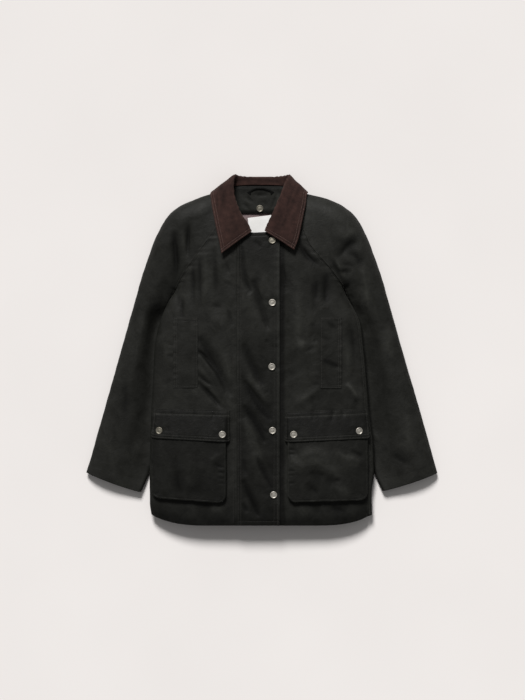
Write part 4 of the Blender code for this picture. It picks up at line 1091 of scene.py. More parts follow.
def add_front(name):
    side, fly_end = SIDES[name], FLY_END[name]
    shares = spaced(SIDE_LENGTH, near(HEM_STITCH), near(3.0), 262) / SIDE_LENGTH
    side_across, side_y = side_line(name, shares)
    reach = np.abs(side_across)
    out = spaced(reach - FRONT_SHORTER, near(), near(SEAM_STITCH), 86) + FRONT_START
    reach, shares = reach[:, None], shares[:, None]
    weight = np.clip((out - fly_end) / (reach - fly_end), 0, 1)
    neckline = np.array(NECKLINE[name])
    neck_across = np.array([across_at(x, y) for x, y in neckline])
    top_y = np.interp(out[-1], side * neck_across, neckline[:, 1])
    hem_x = body(side * out[0], np.full(out.shape[1], HEM_CORNER_Y))[:, 0]
    by_seam = weight[0] ** 30
    bottom_y = hem_y(hem_x) * (1 - by_seam) + HEM_SEAM_Y[name] * by_seam
    outer_share = (side_y - HEM_CORNER_Y)[:, None] / (NECK_SIDE_Y - HEM_CORNER_Y)
    along = bottom_y + (shares * (1 - weight) + outer_share * weight) * (top_y - bottom_y)
    across = side * out

    base, normal = body(across, along), body_normal(across, along)
    x, y = base[..., 0], base[..., 1]
    to_seam, to_hem, to_neck = reach - out, shares * SIDE_LENGTH, (1 - shares) * SIDE_LENGTH
    quiet = ease_both(to_seam / QUIET_SEAM) * ease_both(to_neck / QUIET_END)
    shown = bare(x, y)
    lift = crease_height(x, y) * ease_both(edge_inside(across, along) / 24) * quiet * shown
    lift += crumple(across, along, 11) * quiet * shown * (0.35 + 0.65 * ease_both(to_hem / 20))
    lift += groove(to_seam, SEAM_STITCH, 0.3) + groove(to_hem, HEM_STITCH, 0.12)
    by_raglan = ease_both((along - ARMPIT_Y[name]) / 20)
    by_hem = pucker(across, to_hem - HEM_STITCH, 22, 0.3, 8)
    lift += pucker(along, to_seam, 21, 0.4 + 0.7 * by_raglan, 9, 6.0) + by_hem
    if name == "right":
        beside = groove(out, fly_end + BESIDE_FLY)
        lift += beside + groove(out, fly_end + FLY_TROUGH, 0.5) + groove(out, fly_end + FLY_RIDGE, -0.5)
        lift += pucker(along, out - fly_end - BESIDE_FLY, 23, 0.35, 7, 10.0)
    unmarked = 3 * by_raglan + 4 * (1 - ease_both(to_hem / 9))
    edge = least(to_seam + SEAM_SWELL, out - FRONT_START, to_hem, to_neck)
    # scuffing, painted shade and painted highlight by relief and edges, and painted shade towards the hem
    wear_and_shading = worn_and_shaded(lift, edge + unmarked, 12) - hem_painted_shade(to_hem)
    # painted shadow on the left front beside the fly's raised free edge
    if name == "left":
        wear_and_shading -= 1 - ease_both((out - fly_end - 3) / 9)
    lift = lift - hem_droop(to_hem)
    sewn = stitched(1, 0, 1)
    made = panel(f"{name}_front_cloth", base, normal, lift, CLOTH, edge, wear_and_shading, sewn, flip=side < 0)
    if name == "right":
        face = base + normal * lift[..., None]
        line, up = (line_at(fly_end + BESIDE_FLY, out, grid) for grid in (face, normal))
        sew("thread", line, up, 6.0)
    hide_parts(f"front_{name}_lower", f"front_{name}_upper")


FLY_SNAPS = ((22.5, 239), (22.5, 103.5), (21.5, -36.5), (23, -176), (25.5, -317))
FLY_THICKNESS = 2.2
FLY_LENGTH = 641.0  # about, from the hem to its top
FLY_TOP_X, FLY_TOP_Y = (-47, -32, -8, 14, 32), (258.5, 257.5, 256.5, 257.5, 258.5)
FLY_NARROWER = 3.2
FLY_RIGHT, FLY_LEFT, FLY_TOP = (2.8, 8.6), (4.6, 12.2), 8.0  # its lines of stitches, from each edge


def dimple(x, y, snaps, depth=1.1, reach=10.0):
    """The cloth sinks round each snap, with a few gathers out from it."""
    sunk = np.zeros(np.shape(x))
    for number, (snap_x, snap_y) in enumerate(snaps):
        away = np.hypot(x - snap_x, y - snap_y)
        turn = np.arctan2(y - snap_y, x - snap_x)
        gather = 0.35 * np.cos(5 * turn + 1.7 * number) * np.exp(-(((away - 15) / 8) ** 2))
        sunk += gather - depth * np.exp(-((away / reach) ** 2))
    return sunk


def add_fly():
    rows = (spaced(FLY_LENGTH, near(HEM_STITCH), near(FLY_TOP), 250) / FLY_LENGTH)[:, None]
    width = FLY_END["right"] + FLY_END["left"] - FLY_NARROWER
    right = spaced(width, near(*FLY_RIGHT), near(*FLY_LEFT), 36)
    left = width - right
    across = right - FLY_END["right"]
    top, bottom = np.interp(across, FLY_TOP_X, FLY_TOP_Y), hem_y(across) + 0.3
    to_low, to_high = rows * (top - bottom), (1 - rows) * (top - bottom)
    along = bottom + to_low
    across = across * np.ones_like(along)
    base, normal = body(across, along), body_normal(across, along)
    x, y = base[..., 0], base[..., 1]
    over = LAY_GAP + FLY_THICKNESS
    lift = over + crease_height(x, y) + crumple(across, along, 31) + dimple(x, y, FLY_SNAPS)
    by_right = groove(right, FLY_RIGHT[0]) + groove(right, FLY_RIGHT[1], 0.35)
    lift += by_right + groove(left, FLY_LEFT[0]) + groove(left, FLY_LEFT[1])
    lift += groove(to_high, FLY_TOP) + groove(to_low, HEM_STITCH)
    lift += pucker(along, right - 4, 33, 0.3, 7, 9.0) + pucker(along, left - 7, 34, 0.45, 9, 9.0)
    lift += 1.8 * (1 - ease_both(left / 9))
    edge = least(to_low, to_high, right, left)
    # lighter higher up the fly, painted shade towards its hem, and painted shadow under the collar at its top
    wear_and_shading = worn_and_shaded(lift - over, edge, 32) + 0.1 + 0.62 * ease_both((along + 140) / 150)
    wear_and_shading -= 0.6 * hem_painted_shade(to_low) + 0.75 * (1 - ease_both(to_high / 80))
    lift = np.maximum(lift, 1.2) - hem_droop(to_low)
    sewn = stitched(1, 2, 2) + stitched(0, 0, 1) + stitched(0, 1, 0)
    materials = ("waxed_pocket", "waxed_cotton")
    made = panel("fly_cloth", base, normal, lift, FLY_THICKNESS, edge, wear_and_shading, sewn, materials)
    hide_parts("front_fly")


BACK_HEM_SHORTER = 2.0
BACK_NECK_RISE = 11.0
BACK_TURN = 60.0  # the hem and the neckline of the back curve in rows this near to them
BACK_CREASES = (
    (-120, 240, -90, 120, -60, 20, 14, 1.4),
    (110, 230, 90, 120, 40, 30, 14, 1.4),
    (-180, 60, -100, 0, -20, -40, 10, 1.0),
    (170, 40, 90, 10, 10, -60, 10, 1.0),
    (-160, -120, -60, -170, 40, -150, 12, 1.2),
    (150, -220, 60, -250, -60, -240, 12, 1.2),
)


def add_back():
    """One wall under both fronts: its columns run from the right seam under to the left seam."""
    shares = spaced(SIDE_LENGTH, near(HEM_STITCH), near(), 130) / SIDE_LENGTH
    start, seam_y, length = {}, {}, {}
    for name, side in SIDES.items():
        found, seam_y[name] = side_line(name, shares, under=True)
        start[name] = (found + side * 0.2)[:, None]
        middle = np.array([across_under(OPENING_X + side * 0.5, y) for y in seam_y[name]])
        length[name] = np.abs(middle[:, None] - start[name])
    total = length["right"] + length["left"]
    gone = spaced(total[:, 0], near(SEAM_STITCH), near(SEAM_STITCH), 104)
    share = gone / total
    on_right = gone <= length["right"]
    across = np.where(on_right, start["right"] - gone, start["left"] + total - gone)
    y_right, y_left = seam_y["right"][:, None], seam_y["left"][:, None]
    to_hem, to_neck = shares[:, None] * SIDE_LENGTH, (1 - shares[:, None]) * SIDE_LENGTH
    low, high = np.clip(1 - to_hem / BACK_TURN, 0, 1), np.clip(1 - to_neck / BACK_TURN, 0, 1)
    swell = 4 * share * (1 - share) * ease_both(np.minimum(share, 1 - share) / 0.06)
    along = y_right + (y_left - y_right) * share
    along = along + low * (HEM_Y + BACK_HEM_SHORTER - HEM_CORNER_Y) * swell + high * BACK_NECK_RISE * swell
    base, normal = body(across, along), body_normal(across, along)
    seam = np.minimum(gone, total - gone)
    quiet = ease_both(seam / QUIET_SEAM) * ease_both(to_neck / QUIET_END) * ease_both(to_hem / QUIET_END)
    dent = crumple(across + 700, along, 51) + fold_height(base[..., 0], base[..., 1], BACK_CREASES)
    lift = pressed(dent, base[..., 2]) * quiet + groove(seam, SEAM_STITCH, 0.3) + groove(to_hem, HEM_STITCH)
    edge = least(seam, to_hem, to_neck)
    sewn = stitched(0, 1, 0) + stitched(1, 1, 1)
    made = panel("back_cloth", base, normal, lift, CLOTH, edge, worn_and_shaded(lift, edge, 52), sewn, flip=True)
    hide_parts("back_lower", "back_upper")


# ---------------------------------------------------------------- sleeves
# how far in from the outer edge the overarm seam is: below 0, it lies on the underside
OVERARM_INSIDE = {"right": -6.0, "left": 8.0}
CUFF_STITCH = 13.0
RAGLAN_MM, ARM_MM = 300.0, 470.0  # about, of sleeve for one share above and below the armpit


def sleeve_shares(upper, lower):
    """Shares of the way from the neck to the cuff, close together at both ends and at the cuff's stitches."""
    above = np.concatenate([np.array(BORDER) / RAGLAN_MM, np.linspace(BORDER[-1] / RAGLAN_MM, 1, upper)[1:]])
    cuff = near(CUFF_STITCH)[::-1] / ARM_MM
    below = np.linspace(1, 2 - cuff[0], lower)[1:-1]
    return np.concatenate([above, below, 2 - cuff])


def lengths_across(surface, shares, first):
    """How long a sleeve's section is from first to the next whole place across, at each share."""
    places = np.linspace(first, first + 1, 90)
    return np.array([[along_line(surface(places, np.full(90, share)))[-1]] for share in shares])


def add_sleeve(name):
    side, inside, surface = SIDES[name], OVERARM_INSIDE[name], sleeve(name)
    for key, rows, columns in (("front", (86, 140), 44), ("back", (60, 90), 34)):
        front = key == "front"
        shares = sleeve_shares(*rows)
        top, under = (lengths_across(surface, shares, first) for first in (0, 1))
        shares = shares[:, None]
        length = top - inside if front else under + inside
        gone = spaced(length[:, 0] - 0.2, near(SEAM_STITCH), near(SEAM_STITCH), columns) + 0.1
        if front:
            across = np.where(gone <= top, gone / top, 1 + (gone - top) / under)
        else:
            past = gone - max(inside, 0)
            across = np.where(past < 0, 1 + past / top, 1 + (past - min(inside, 0)) / under)
        along = shares * np.ones_like(across)
        base = surface(across, along)
        normal = normals_of(surface, across, along, 0.008, 0.012, -side)
        x, y, z = (base[..., k] for k in range(3))
        seam = np.minimum(gone, length - gone)
        to_neck = np.where(shares < 1, shares * RAGLAN_MM, RAGLAN_MM + (shares - 1) * ARM_MM)
        to_cuff = np.maximum(2 - along, 0) * ARM_MM + np.maximum(1 - along, 0) * (RAGLAN_MM - ARM_MM)
        quiet = ease_both(seam / QUIET_SEAM) * ease_both(to_cuff / 16) * ease_both(to_neck / QUIET_END)
        if front:
            at_side = ease_both((1 - across) * top / 20)
            lift = crease_height(x, y) * at_side + 0.6 * crumple(gone + 200 * side, to_neck, 61 + side)
        else:
            lift = pressed(crumple(gone + 500 * side, to_neck, 71 + side), z)
        lift *= quiet
        lift += groove(seam, SEAM_STITCH, 0.3) + groove(to_cuff, CUFF_STITCH, 0.12)
        lift += pucker(to_neck, seam, 81, 0.6, 9, 6.0) * ease_both((z - 4) / 6)
        edge = least(seam + SEAM_SWELL, to_cuff, to_neck)
        unmarked = 3 * (along < 1) + 4 * (1 - ease_both(to_cuff / 9))
        wear_and_shading = worn_and_shaded(lift, edge + unmarked, 62) + 0.22 * side * (1 - ease_both((along - 0.7) / 0.5))
        # painted shade along the front's seam edge below the armpit, where it runs under the body
        if front:
            wear_and_shading -= 0.9 * np.exp(-((gone / 6) ** 2)) * ease_both((along - 1) / 0.1)
        sewn, flip = stitched(1, 1, 1), side > 0
        piece = panel(f"{name}_sleeve_{key}_cloth", base, normal, lift, CLOTH, edge, wear_and_shading, sewn, flip=flip)
        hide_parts(*(f"sleeve_{name}_{key}_{part}" for part in ("raglan", "upper", "lower")))


# ---------------------------------------------------------------- pockets, flaps and welts
FLAPS = {
    "right": {"inner": -70.5, "outer": -236.5, "top": (-132, -128), "bottom": (-201, -192.5)},
    "left": {"inner": 49.5, "outer": 230.5, "top": (-135.5, -128), "bottom": (-201, -193.5)},
}
BAGS = {
    "right": {"inner": -78.5, "outer": -238.0, "bottom": (-335.5, -324.0)},
    "left": {"inner": 56.0, "outer": 228.5, "bottom": (-333.5, -329.0)},
}
BAG_WEAR = {"right": 0.0, "left": 0.3}
FLAP_SNAPS = {"right": ((-86.5, -184), (-222, -176)), "left": ((69, -184), (210.5, -177))}
BAG_DEPTH = 7.5
BAG_CORNER = 18.0
BAG_MOUTH_BELOW = 12.0
BAG_ROWS, BAG_COLUMNS, BAG_TURN = 76, 72, 14
FLAP_THICKNESS = 1.9
FLAP_RISE = 56.0
FLAP_CORNER = 5.0
FLAP_TOP, FLAP_LOW, FLAP_SIDE = (2.8, 11.0), (3.2, 8.8), 3.6  # its lines of stitches, from each edge
MOUTH_SUNK, MOUTH_REACH = 0.84, 48.0
# The bag's standing side and edge: inset from the outline, and height over the front
GUSSET = (
    (3.4, 0.35),
    (1.4, 1.3),
    (0.3, 2.4),
    (1.2, 3.4),
    (3.6, 4.2),
    (1.4, 5.2),
    (0.2, 6.4),
    (0.0, 7.4),
    (0.5, 8.4),
    (1.7, 9.2),
    (3.2, 9.35),
    (4.2, 8.95),
    (5.4, 9.25),
    (8.0, 9.35),
    (12.0, 9.3),
    (BAG_CORNER, 9.2),
)


def between(ends, share):
    return ends[0] + (ends[1] - ends[0]) * share


def flap_lift(below_top):
    rise = np.clip((below_top - 1) / FLAP_RISE, 0, 1)
    return LAY_GAP + 0.3 + (BAG_DEPTH + 1.6) * (0.75 * rise + 0.25 * ease_both(rise))


def bag_path(width, depth):
    """Round three sides of a bag: places c, d of its core's outline, and the way out from each."""
    r = BAG_CORNER
    quarter = np.linspace(0, math.pi / 2, BAG_TURN)[1:]
    steps = [(r, r + d, -1, 0) for d in np.linspace(depth - r, 0, BAG_ROWS)]
    steps += [(r, r, -math.cos(turn), -math.sin(turn)) for turn in quarter]
    steps += [(c, r, 0, -1) for c in np.linspace(r, width - r, BAG_COLUMNS)[1:]]
    steps += [(width - r, r, math.sin(turn), -math.cos(turn)) for turn in quarter]
    steps += [(width - r, r + d, 1, 0) for d in np.linspace(0, depth - r, BAG_ROWS)[1:]]
    return np.array(steps)[:, :2], np.array(steps)[:, 2:]


def add_bag(name):
    """Rings of the standing side and edge round three sides, and a grid between them, sewn into one cloth."""
    side, bag = SIDES[name], BAGS[name]
    mouth = [y - BAG_MOUTH_BELOW for y in FLAPS[name]["top"]]
    ends = [across_at(x, sum(mouth) / 2) for x in (bag["inner"], bag["outer"])]
    width = abs(ends[1] - ends[0])
    depth = between(mouth, 0.5) - between(bag["bottom"], 0.5)
    core, out = bag_path(width, depth)
    path = along_line(core + out * BAG_CORNER)
    rings, lifts = [], []
    for k, (inset, lift) in enumerate(GUSSET):
        gather = lattice(path, np.full(len(path), 3.0 * k), 5.5, 91 + side)
        gather = gather + 0.6 * lattice(path, path * 0, 11, 95)
        by_edge = math.exp(-(((lift - 8.6) / 2.4) ** 2)) * math.exp(-((inset / 9) ** 2))
        rings.append(core + out * (BAG_CORNER - inset) + out * (0.2 * gather * by_edge)[:, None])
        lifts.append(lift + 0.5 * gather * by_edge)
    columns = np.linspace(BAG_CORNER, width - BAG_CORNER, BAG_COLUMNS)
    rows = BAG_CORNER + np.linspace(0, depth - BAG_CORNER, BAG_ROWS)
    grid = np.stack(np.meshgrid(columns, rows), axis=-1).reshape(-1, 2)
    c, d = np.concatenate([*rings, grid]).T
    flat_lift = np.concatenate([*lifts, np.full(len(grid), GUSSET[-1][1])])
    along = np.minimum(between(bag["bottom"], c / width) + d, between(mouth, c / width))
    across = ends[0] + side * c
    base, normal = body(across, along), body_normal(across, along)
    inside = least(c, width - c, d)
    on_top = ease_both((inside - 3) / 14)
    relief = on_top * 1.1 * crumple(across, along, 96)
    relief += ease_both(inside / 4) * 1.1 * crease_height(base[:, 0], base[:, 1])
    relief *= ease_both((depth - d - MOUTH_REACH) / 9)
    sunk = 1 - MOUTH_SUNK * (1 - np.clip((depth - d) / MOUTH_REACH, 0, 1))
    lift = (flat_lift + 1.2 * on_top * ease_both(inside / 50)) * sunk + relief
    faces = ring_faces(len(GUSSET), len(path), closed=False)
    faces += ring_faces(BAG_ROWS, BAG_COLUMNS, len(GUSSET) * len(path), closed=False)
    if side < 0:
        faces = [face[::-1] for face in faces]
    made = make_object(f"{name}_pocket_cloth", base + normal * lift[:, None], faces, ("waxed_pocket",))
    # its troughs painted darker as shade, and its edge crest painted lighter as scuffing and painted
    # highlight
    on_edge = np.exp(-((inside / 3.0) ** 2)) * np.exp(-(((flat_lift - 8.6) / 2.0) ** 2))
    paint(made, {"wear_and_shading": np.clip(0.32 * relief + 0.8 * on_edge + BAG_WEAR[name], -1, 1)})
    close_up(made, 1.0)
    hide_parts(f"pocket_bag_{name}")


def close_up(obj, thickness):
    """Merges what meets, and gives the cloth its thickness on the inner side."""
    weld = obj.modifiers.new("weld", "WELD")
    weld.merge_threshold = 0.00002
    thick = obj.modifiers.new("thickness", "SOLIDIFY")
    thick.thickness = thickness * MM
    thick.offset = -1
    bpy.context.view_layer.update()
    found = obj.evaluated_get(bpy.context.evaluated_depsgraph_get())
    mesh = bpy.data.meshes.new_from_object(found)
    obj.modifiers.clear()
    obj.data = mesh


def add_flap(name):
    side, flap = SIDES[name], FLAPS[name]
    y = (flap["top"][0] + flap["bottom"][0]) / 2
    ends = [across_at(flap["inner"], y), across_at(flap["outer"], y)]
    width = abs(ends[1] - ends[0])
    c = spaced(width, near(FLAP_SIDE), near(FLAP_SIDE), 56)
    sides = np.minimum(c, width - c)
    into = np.maximum(FLAP_CORNER - sides, 0)
    top, bottom = between(flap["top"], c / width), between(flap["bottom"], c / width)
    length = top - (bottom + FLAP_CORNER - np.sqrt(FLAP_CORNER**2 - into**2))
    drops = spaced(length, near(*FLAP_TOP), near(*FLAP_LOW), 16).T
    along = top - drops
    across = (ends[0] + side * c) * np.ones_like(along)
    base, normal = body(across, along), body_normal(across, along)
    x, y = base[..., 0], base[..., 1]
    to_low = length - drops
    hangs = 1 - 0.8 * (1 - ease_both(c / 12)) * ease_both(drops / 14)
    over = flap_lift(drops) * hangs + FLAP_THICKNESS
    lift = over + (1 - ease_both(to_low / 16))
    lift += crease_height(x, y) + 0.8 * crumple(across, along, 101)
    lift += dimple(x, y, FLAP_SNAPS[name], 1.0, 9.0)
    by_top = groove(drops, FLAP_TOP[0]) + groove(drops, FLAP_TOP[1], 0.35)
    lift += by_top + groove(to_low, FLAP_LOW[0]) + groove(to_low, FLAP_LOW[1], 0.35)
    lift += groove(sides, FLAP_SIDE)
    lift += pucker(across, to_low - 4, 103, 0.7, 7) + pucker(along, sides - 3, 104, 0.5, 6)
    lift += pucker(across, drops - 4, 105, 0.5, 8, 9.0)
    edge = least(sides, drops, to_low)
    rubbed = 1.4 * np.exp(-(((drops - 11.5) / 2.8) ** 2)) * (0.7 + 0.6 * lattice(across, along * 0.2, 6, 106))
    wear_and_shading = worn_and_shaded(lift - over, edge, 102, 0.9) - 0.3 + rubbed
    piece, materials = f"{name}_flap_cloth", ("waxed_pocket", "lining")
    sewn = stitched(0, 2, 2) + stitched(1, 1, 1)
    made = panel(piece, base, normal, lift, FLAP_THICKNESS, edge, wear_and_shading, sewn, materials, side > 0)
    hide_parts(f"pocket_flap_{name}")


# x of the opening edge and of the inner edge, y of the top and of the bottom
WELTS = {"right": (-194.0, -140.0, 70.0, -83.0), "left": (174.0, 127.5, 71.0, -84.0)}
WELT_THICKNESS = 0.8
WELT_LIFT = 0.3
WELT_GAPE = 1.8  # how far the opening edge stands off, half way down
WELT_ENDS, WELT_OPENING = (2.4, 6.8), (3.0, 7.2)  # its grooves, from each end and from the opening edge


def add_welt(name):
    side = SIDES[name]
    opening, inner_x, top, bottom = WELTS[name]
    tall = top - bottom
    rows = spaced(tall, near(*WELT_ENDS), near(*WELT_ENDS), 48)[:, None]
    places = bottom + rows[:, 0]
    first, last = (np.array([[across_at(x, y)] for y in places]) for x in (inner_x, opening))
    width = np.abs(last - first)
    c = spaced(width[:, 0], near(SEAM_STITCH), near(*WELT_OPENING), 10)
    across = first + side * c
    along = (bottom + rows) * np.ones_like(across)
    base, normal = body(across, along), body_normal(across, along)
    from_opening = width - c
    ends = np.minimum(rows, tall - rows)
    relief = 0.8 * crumple(across, along, 111) * ease_both(ends / 10)
    relief += crease_height(base[..., 0], base[..., 1]) * ease_both(np.minimum(ends, c) / 10)
    at_opening = groove(from_opening, WELT_OPENING[0])
    relief += groove(c, SEAM_STITCH) + at_opening + groove(from_opening, WELT_OPENING[1], 0.3)
    relief += groove(ends, WELT_ENDS[0]) + groove(ends, WELT_ENDS[1], 0.35)
    relief += pucker(along, from_opening - 3, 113, 0.8, 7) + pucker(along, c - 2, 114, 0.7, 7)
    gape = WELT_GAPE * np.sin(math.pi * rows / tall) * (1 - ease_both(from_opening / (0.5 * width)))
    lift = np.maximum(WELT_LIFT + gape + WELT_THICKNESS + relief, WELT_THICKNESS + 0.2)
    edge = least(c, from_opening, ends)
    wear_and_shading = worn_and_shaded(relief, edge, 112, 0.15) - 0.12
    piece, materials = f"{name}_welt_cloth", ("waxed_cotton",)
    sewn = stitched(1, 1, 2) + stitched(0, 1, 1)
    made = panel(piece, base, normal, lift, WELT_THICKNESS, edge, wear_and_shading, sewn, materials, side < 0)
    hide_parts(f"handwarmer_welt_{name}")


# ---------------------------------------------------------------- collar
COLLAR_THICKNESS = 2.5
ROLL_RADIUS = 1.8
ROLL_REACH = 3.5
# x, y, z of each station's seam, roll, middle of the fall and outer edge, from the right tip to the left
COLLAR_STATIONS = (
    (-30, 256, 57, -23, 259, 60, -55.7, 235, 62.5, -88.5, 210.5, 61.5),
    (-42, 272, 56, -32, 278, 59, -62, 256, 61.0, -92.5, 234, 60.0),
    (-52, 288, 53, -44, 294, 57, -71, 278, 57.5, -99, 262, 56.5),
    (-60, 304, 49, -53, 314, 53.5, -79, 303, 53.0, -105, 292, 50.5),
    (-67, 322, 44, -60.5, 338, 48.5, -85, 329, 47.5, -110, 318, 43.5),
    (-72, 338, 39, -62.5, 358, 43.0, -90, 351, 41.0, -113, 338, 35.0),
    (-75, 350, 28, -62, 376, 34.0, -90, 361.5, 31.0, -113, 344, 23.0),
    (-74, 354, 16.0, -58.5, 385.2, 21.0, -86.5, 364.5, 15.0, -108, 347, 11.5),
    (-60, 361, 9.0, -50, 382.8, 8.5, -72, 366, 4.0, -88, 343, 1.6),
    (-30, 363.5, 7.4, -28, 380.8, 5.6, -40, 356, 1.6, -46, 328, 1.6),
    (-4, 363.5, 7.4, -4, 380.4, 5.4, -4, 355, 1.6, -4, 325, 1.6),
    (22, 363.5, 7.4, 22, 380.8, 5.6, 32, 356, 1.6, 38, 328, 1.6),
    (50, 361, 9.0, 46, 382.8, 8.5, 62, 366, 4.0, 77, 343, 1.6),
    (63, 354, 16.0, 60, 384.6, 21.0, 78, 365, 15.0, 94, 346, 10.0),
    (65, 350, 28, 54, 374, 34.0, 81, 363, 31.0, 101, 346, 23.0),
    (65, 338, 39, 48, 358, 43.0, 75, 351, 41.0, 98, 340, 35.0),
    (60, 322, 44, 41, 341, 48.5, 69, 331, 47.5, 96, 320, 43.5),
    (52, 304, 49, 32, 319, 53.5, 61, 308, 53.0, 91, 296, 50.5),
    (42, 288, 53, 23, 298, 57.0, 54, 283, 57.5, 85, 268, 56.5),
    (30, 272, 56, 13.5, 278, 59.0, 46, 260, 61.0, 79, 242, 60.0),
    (16, 256, 57, 6, 260.5, 60.0, 38, 239.5, 62.5, 70, 218.5, 61.5),
)
STATION_MM = 22.5  # about, from one station to the next
LEAF_LIFT, LEAF_REACH = 9.0, 120.0  # the outer edge is this much higher at the tips, and over what length
COLLAR_STITCHES = (3.0, 8.2)
WALE = 2.4


def collar_line(station):
    """The middle of the collar's thickness at one station: seam, stand, roll, fall, outer edge."""
    seam, roll, middle, edge = np.reshape(station, (4, 3))
    over = roll + unit(middle - roll) * ROLL_REACH
    under = roll + unit(seam - roll) * ROLL_REACH
    apart = over - under
    spread = np.linalg.norm(apart)
    push = apart / max(spread, 1e-6) * max(2 * ROLL_RADIUS - spread, 0) / 2
    over, under = over + push, under - push
    half_up, half_down, low = (seam + roll) / 2, (over + middle) / 2, (middle + edge) / 2
    return np.array([seam, (half_up + under) / 2, under, roll, over, half_down, middle, low, edge])


def add_collar():
    stations = np.array(COLLAR_STATIONS, float)
    last = len(stations) - 1
    stitches = near(*COLLAR_STITCHES)
    places = spaced(last * STATION_MM, stitches, stitches, 150) / STATION_MM
    lines, lengths = [], []
    for place in places:
        line = collar_line(rows_at(np.arange(len(stations)), stations, place))
        to_tip = min(place, last - place) * STATION_MM
        line[:, 2] += LEAF_LIFT * (1 - ease_both(to_tip / LEAF_REACH)) * ease_both((np.arange(9) - 3) / 5)
        away = along_line(line)
        lengths.append(spaced(away[-1], near(), stitches, 30))
        lines.append(rows_at(away, line, lengths[-1]))
    middle, c = np.array(lines), np.array(lengths)
    normal = -unit(np.cross(np.gradient(middle, axis=1), np.gradient(middle, axis=0)))
    from_edge = c[:, -1:] - c
    ends = np.minimum(places, last - places)[:, None] * STATION_MM
    along = places[:, None] * STATION_MM
    lift = groove(from_edge, COLLAR_STITCHES[0], 0.35) + groove(from_edge, COLLAR_STITCHES[1], 0.35)
    lift = lift + groove(ends, COLLAR_STITCHES[0], 0.35) + groove(ends, COLLAR_STITCHES[1])
    lift += 0.35 * crumple(along, c, 121) * ease_both(from_edge / 10)
    lift += pucker(along, from_edge - 4, 123, 0.3, 7)
    edge = least(c, from_edge, ends)
    attributes = {
        "wale": c * 2 * math.pi / WALE,
        "wear_and_shading": worn_and_shaded(lift, edge, 122, 0.8),
        "rubbed": 0.5 + 0.5 * lattice(c, 0.16 * along, 5.0, 125),
    }
    middle = middle + normal * lift[..., None]
    materials, sewn = ("corduroy",), stitched(1, 0, 2) + stitched(0, 2, 2)
    made = shell("collar_cloth", middle, normal, COLLAR_THICKNESS, edge, materials, attributes, sewn, True)
    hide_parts("collar")


# ---------------------------------------------------------------- inside the neck
FACING_THICKNESS = 1.5
LINING_THICKNESS = 1.0
LABEL_THICKNESS = 0.8
WALL = 2.0  # the back's own, under them
NECK_CREASES = (
    (-32, 338, -27, 331, -21, 324, 2.6, -1.5),
    (-43, 325, -34, 316, -25, 306, 3.2, -1.6),
    (-38, 334, -31, 326, -24, 318, 3.0, 1.0),
    (30, 338, 27, 326, 22, 312, 3.2, -1.2),
    (38, 344, 35, 332, 31, 320, 3.0, 1.0),
    (-20, 344, -4, 338, 14, 343, 4.0, -1.2),
    (4, 330, 9, 322, 12, 312, 3.0, -1.0),
)
# corners, from the low left round
LINING_CORNERS = ((-66, 226), (56, 226), (58, 296), (-68, 296))
FACING_CORNERS = ((-72, 301), (62, 301), (54, 361.4), (-64, 361.4))
LABEL_CORNERS = ((-26.4, 250), (34, 257.6), (28.8, 298.4), (-31.6, 290.8))


def over_back(x, y):
    return bed_height(y + 8) + WALL + LAY_GAP


def below_climb(x, y):
    return np.full(np.shape(x), WALL + LAY_GAP + 0.3)


def over_lining(x, y):
    return below_climb(x, y) + LINING_THICKNESS + LAY_GAP


def plate(name, material, corners, z_at, thickness, columns, rows, dent, seed, creases=None, shade=0.0):
    """A thin wall over four corners, with its underside at z_at(x, y). shade is a painted shadow that darkens
    its upper edge.
    """
    low_left, low_right, high_right, high_left = (np.array(corner, float) for corner in corners)
    wide = np.linalg.norm(low_right - low_left)
    tall = np.linalg.norm(high_left - low_left)
    across, along = spaced(wide, near(), near(), columns), spaced(tall, near(), near(), rows)
    s, t = (share[..., None] for share in np.meshgrid(across / wide, along / tall))
    plan = (1 - t) * ((1 - s) * low_left + s * low_right) + t * ((1 - s) * high_left + s * high_right)
    x, y = plan[..., 0], plan[..., 1]
    edge = least(across, wide - across, along[:, None], (tall - along)[:, None])
    relief = dent * (crumple(x, y, seed) + 0.6)
    if creases is not None:
        relief = relief + fold_height(x, y, creases, 1.0) + 0.7
    lift = np.maximum(relief, -0.3) * ease_both(edge / 8)
    middle = np.concatenate([plan, (z_at(x, y) + thickness / 2 + lift)[..., None]], axis=-1)
    normal = np.zeros_like(middle)
    normal[..., 2] = 1
    # painted shadow along the upper edge, by shade
    wear_and_shading = worn_and_shaded(lift, edge, seed, 0.1) - shade * (1 - ease_both((tall - along) / 24))[:, None]
    return shell(name, middle, normal, thickness, edge, (material,), {"wear_and_shading": wear_and_shading})


def add_neck():
    form = (LINING_CORNERS, below_climb, LINING_THICKNESS, 40, 24, 0.5, 131)
    lining = plate("neck_lining_cloth", "lining", *form)
    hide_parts("back_lining")
    # the facing has painted shadow along its upper edge, under the collar
    form = (FACING_CORNERS, over_back, FACING_THICKNESS, 60, 32, 0.7, 133, NECK_CREASES, 1.1)
    facing = plate("neck_facing_cloth", "waxed_cotton", *form)
    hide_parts("neck_facing")
    form = (LABEL_CORNERS, over_lining, LABEL_THICKNESS, 24, 16, 0.3, 135)
    label = plate("neck_label_cloth", "label_cloth", *form)
    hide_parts("neck_label")


# x, y, and height over the facing
LOOP_POINTS = (
    (-29, 344.5, 0),
    (-24.5, 350, 1.0),
    (-15, 355, 1.8),
    (-4.5, 356, 2.0),
    (6, 355, 1.8),
    (18, 350, 1.0),
    (23.5, 344.5, 0),
)
LOOP_WIDTH = 4.2
LOOP_FOOT = 2.3  # the loop is this much as wide where it's turned under at its ends
LOOP_THICKNESS = 1.5
LOOP_STEPS = 60


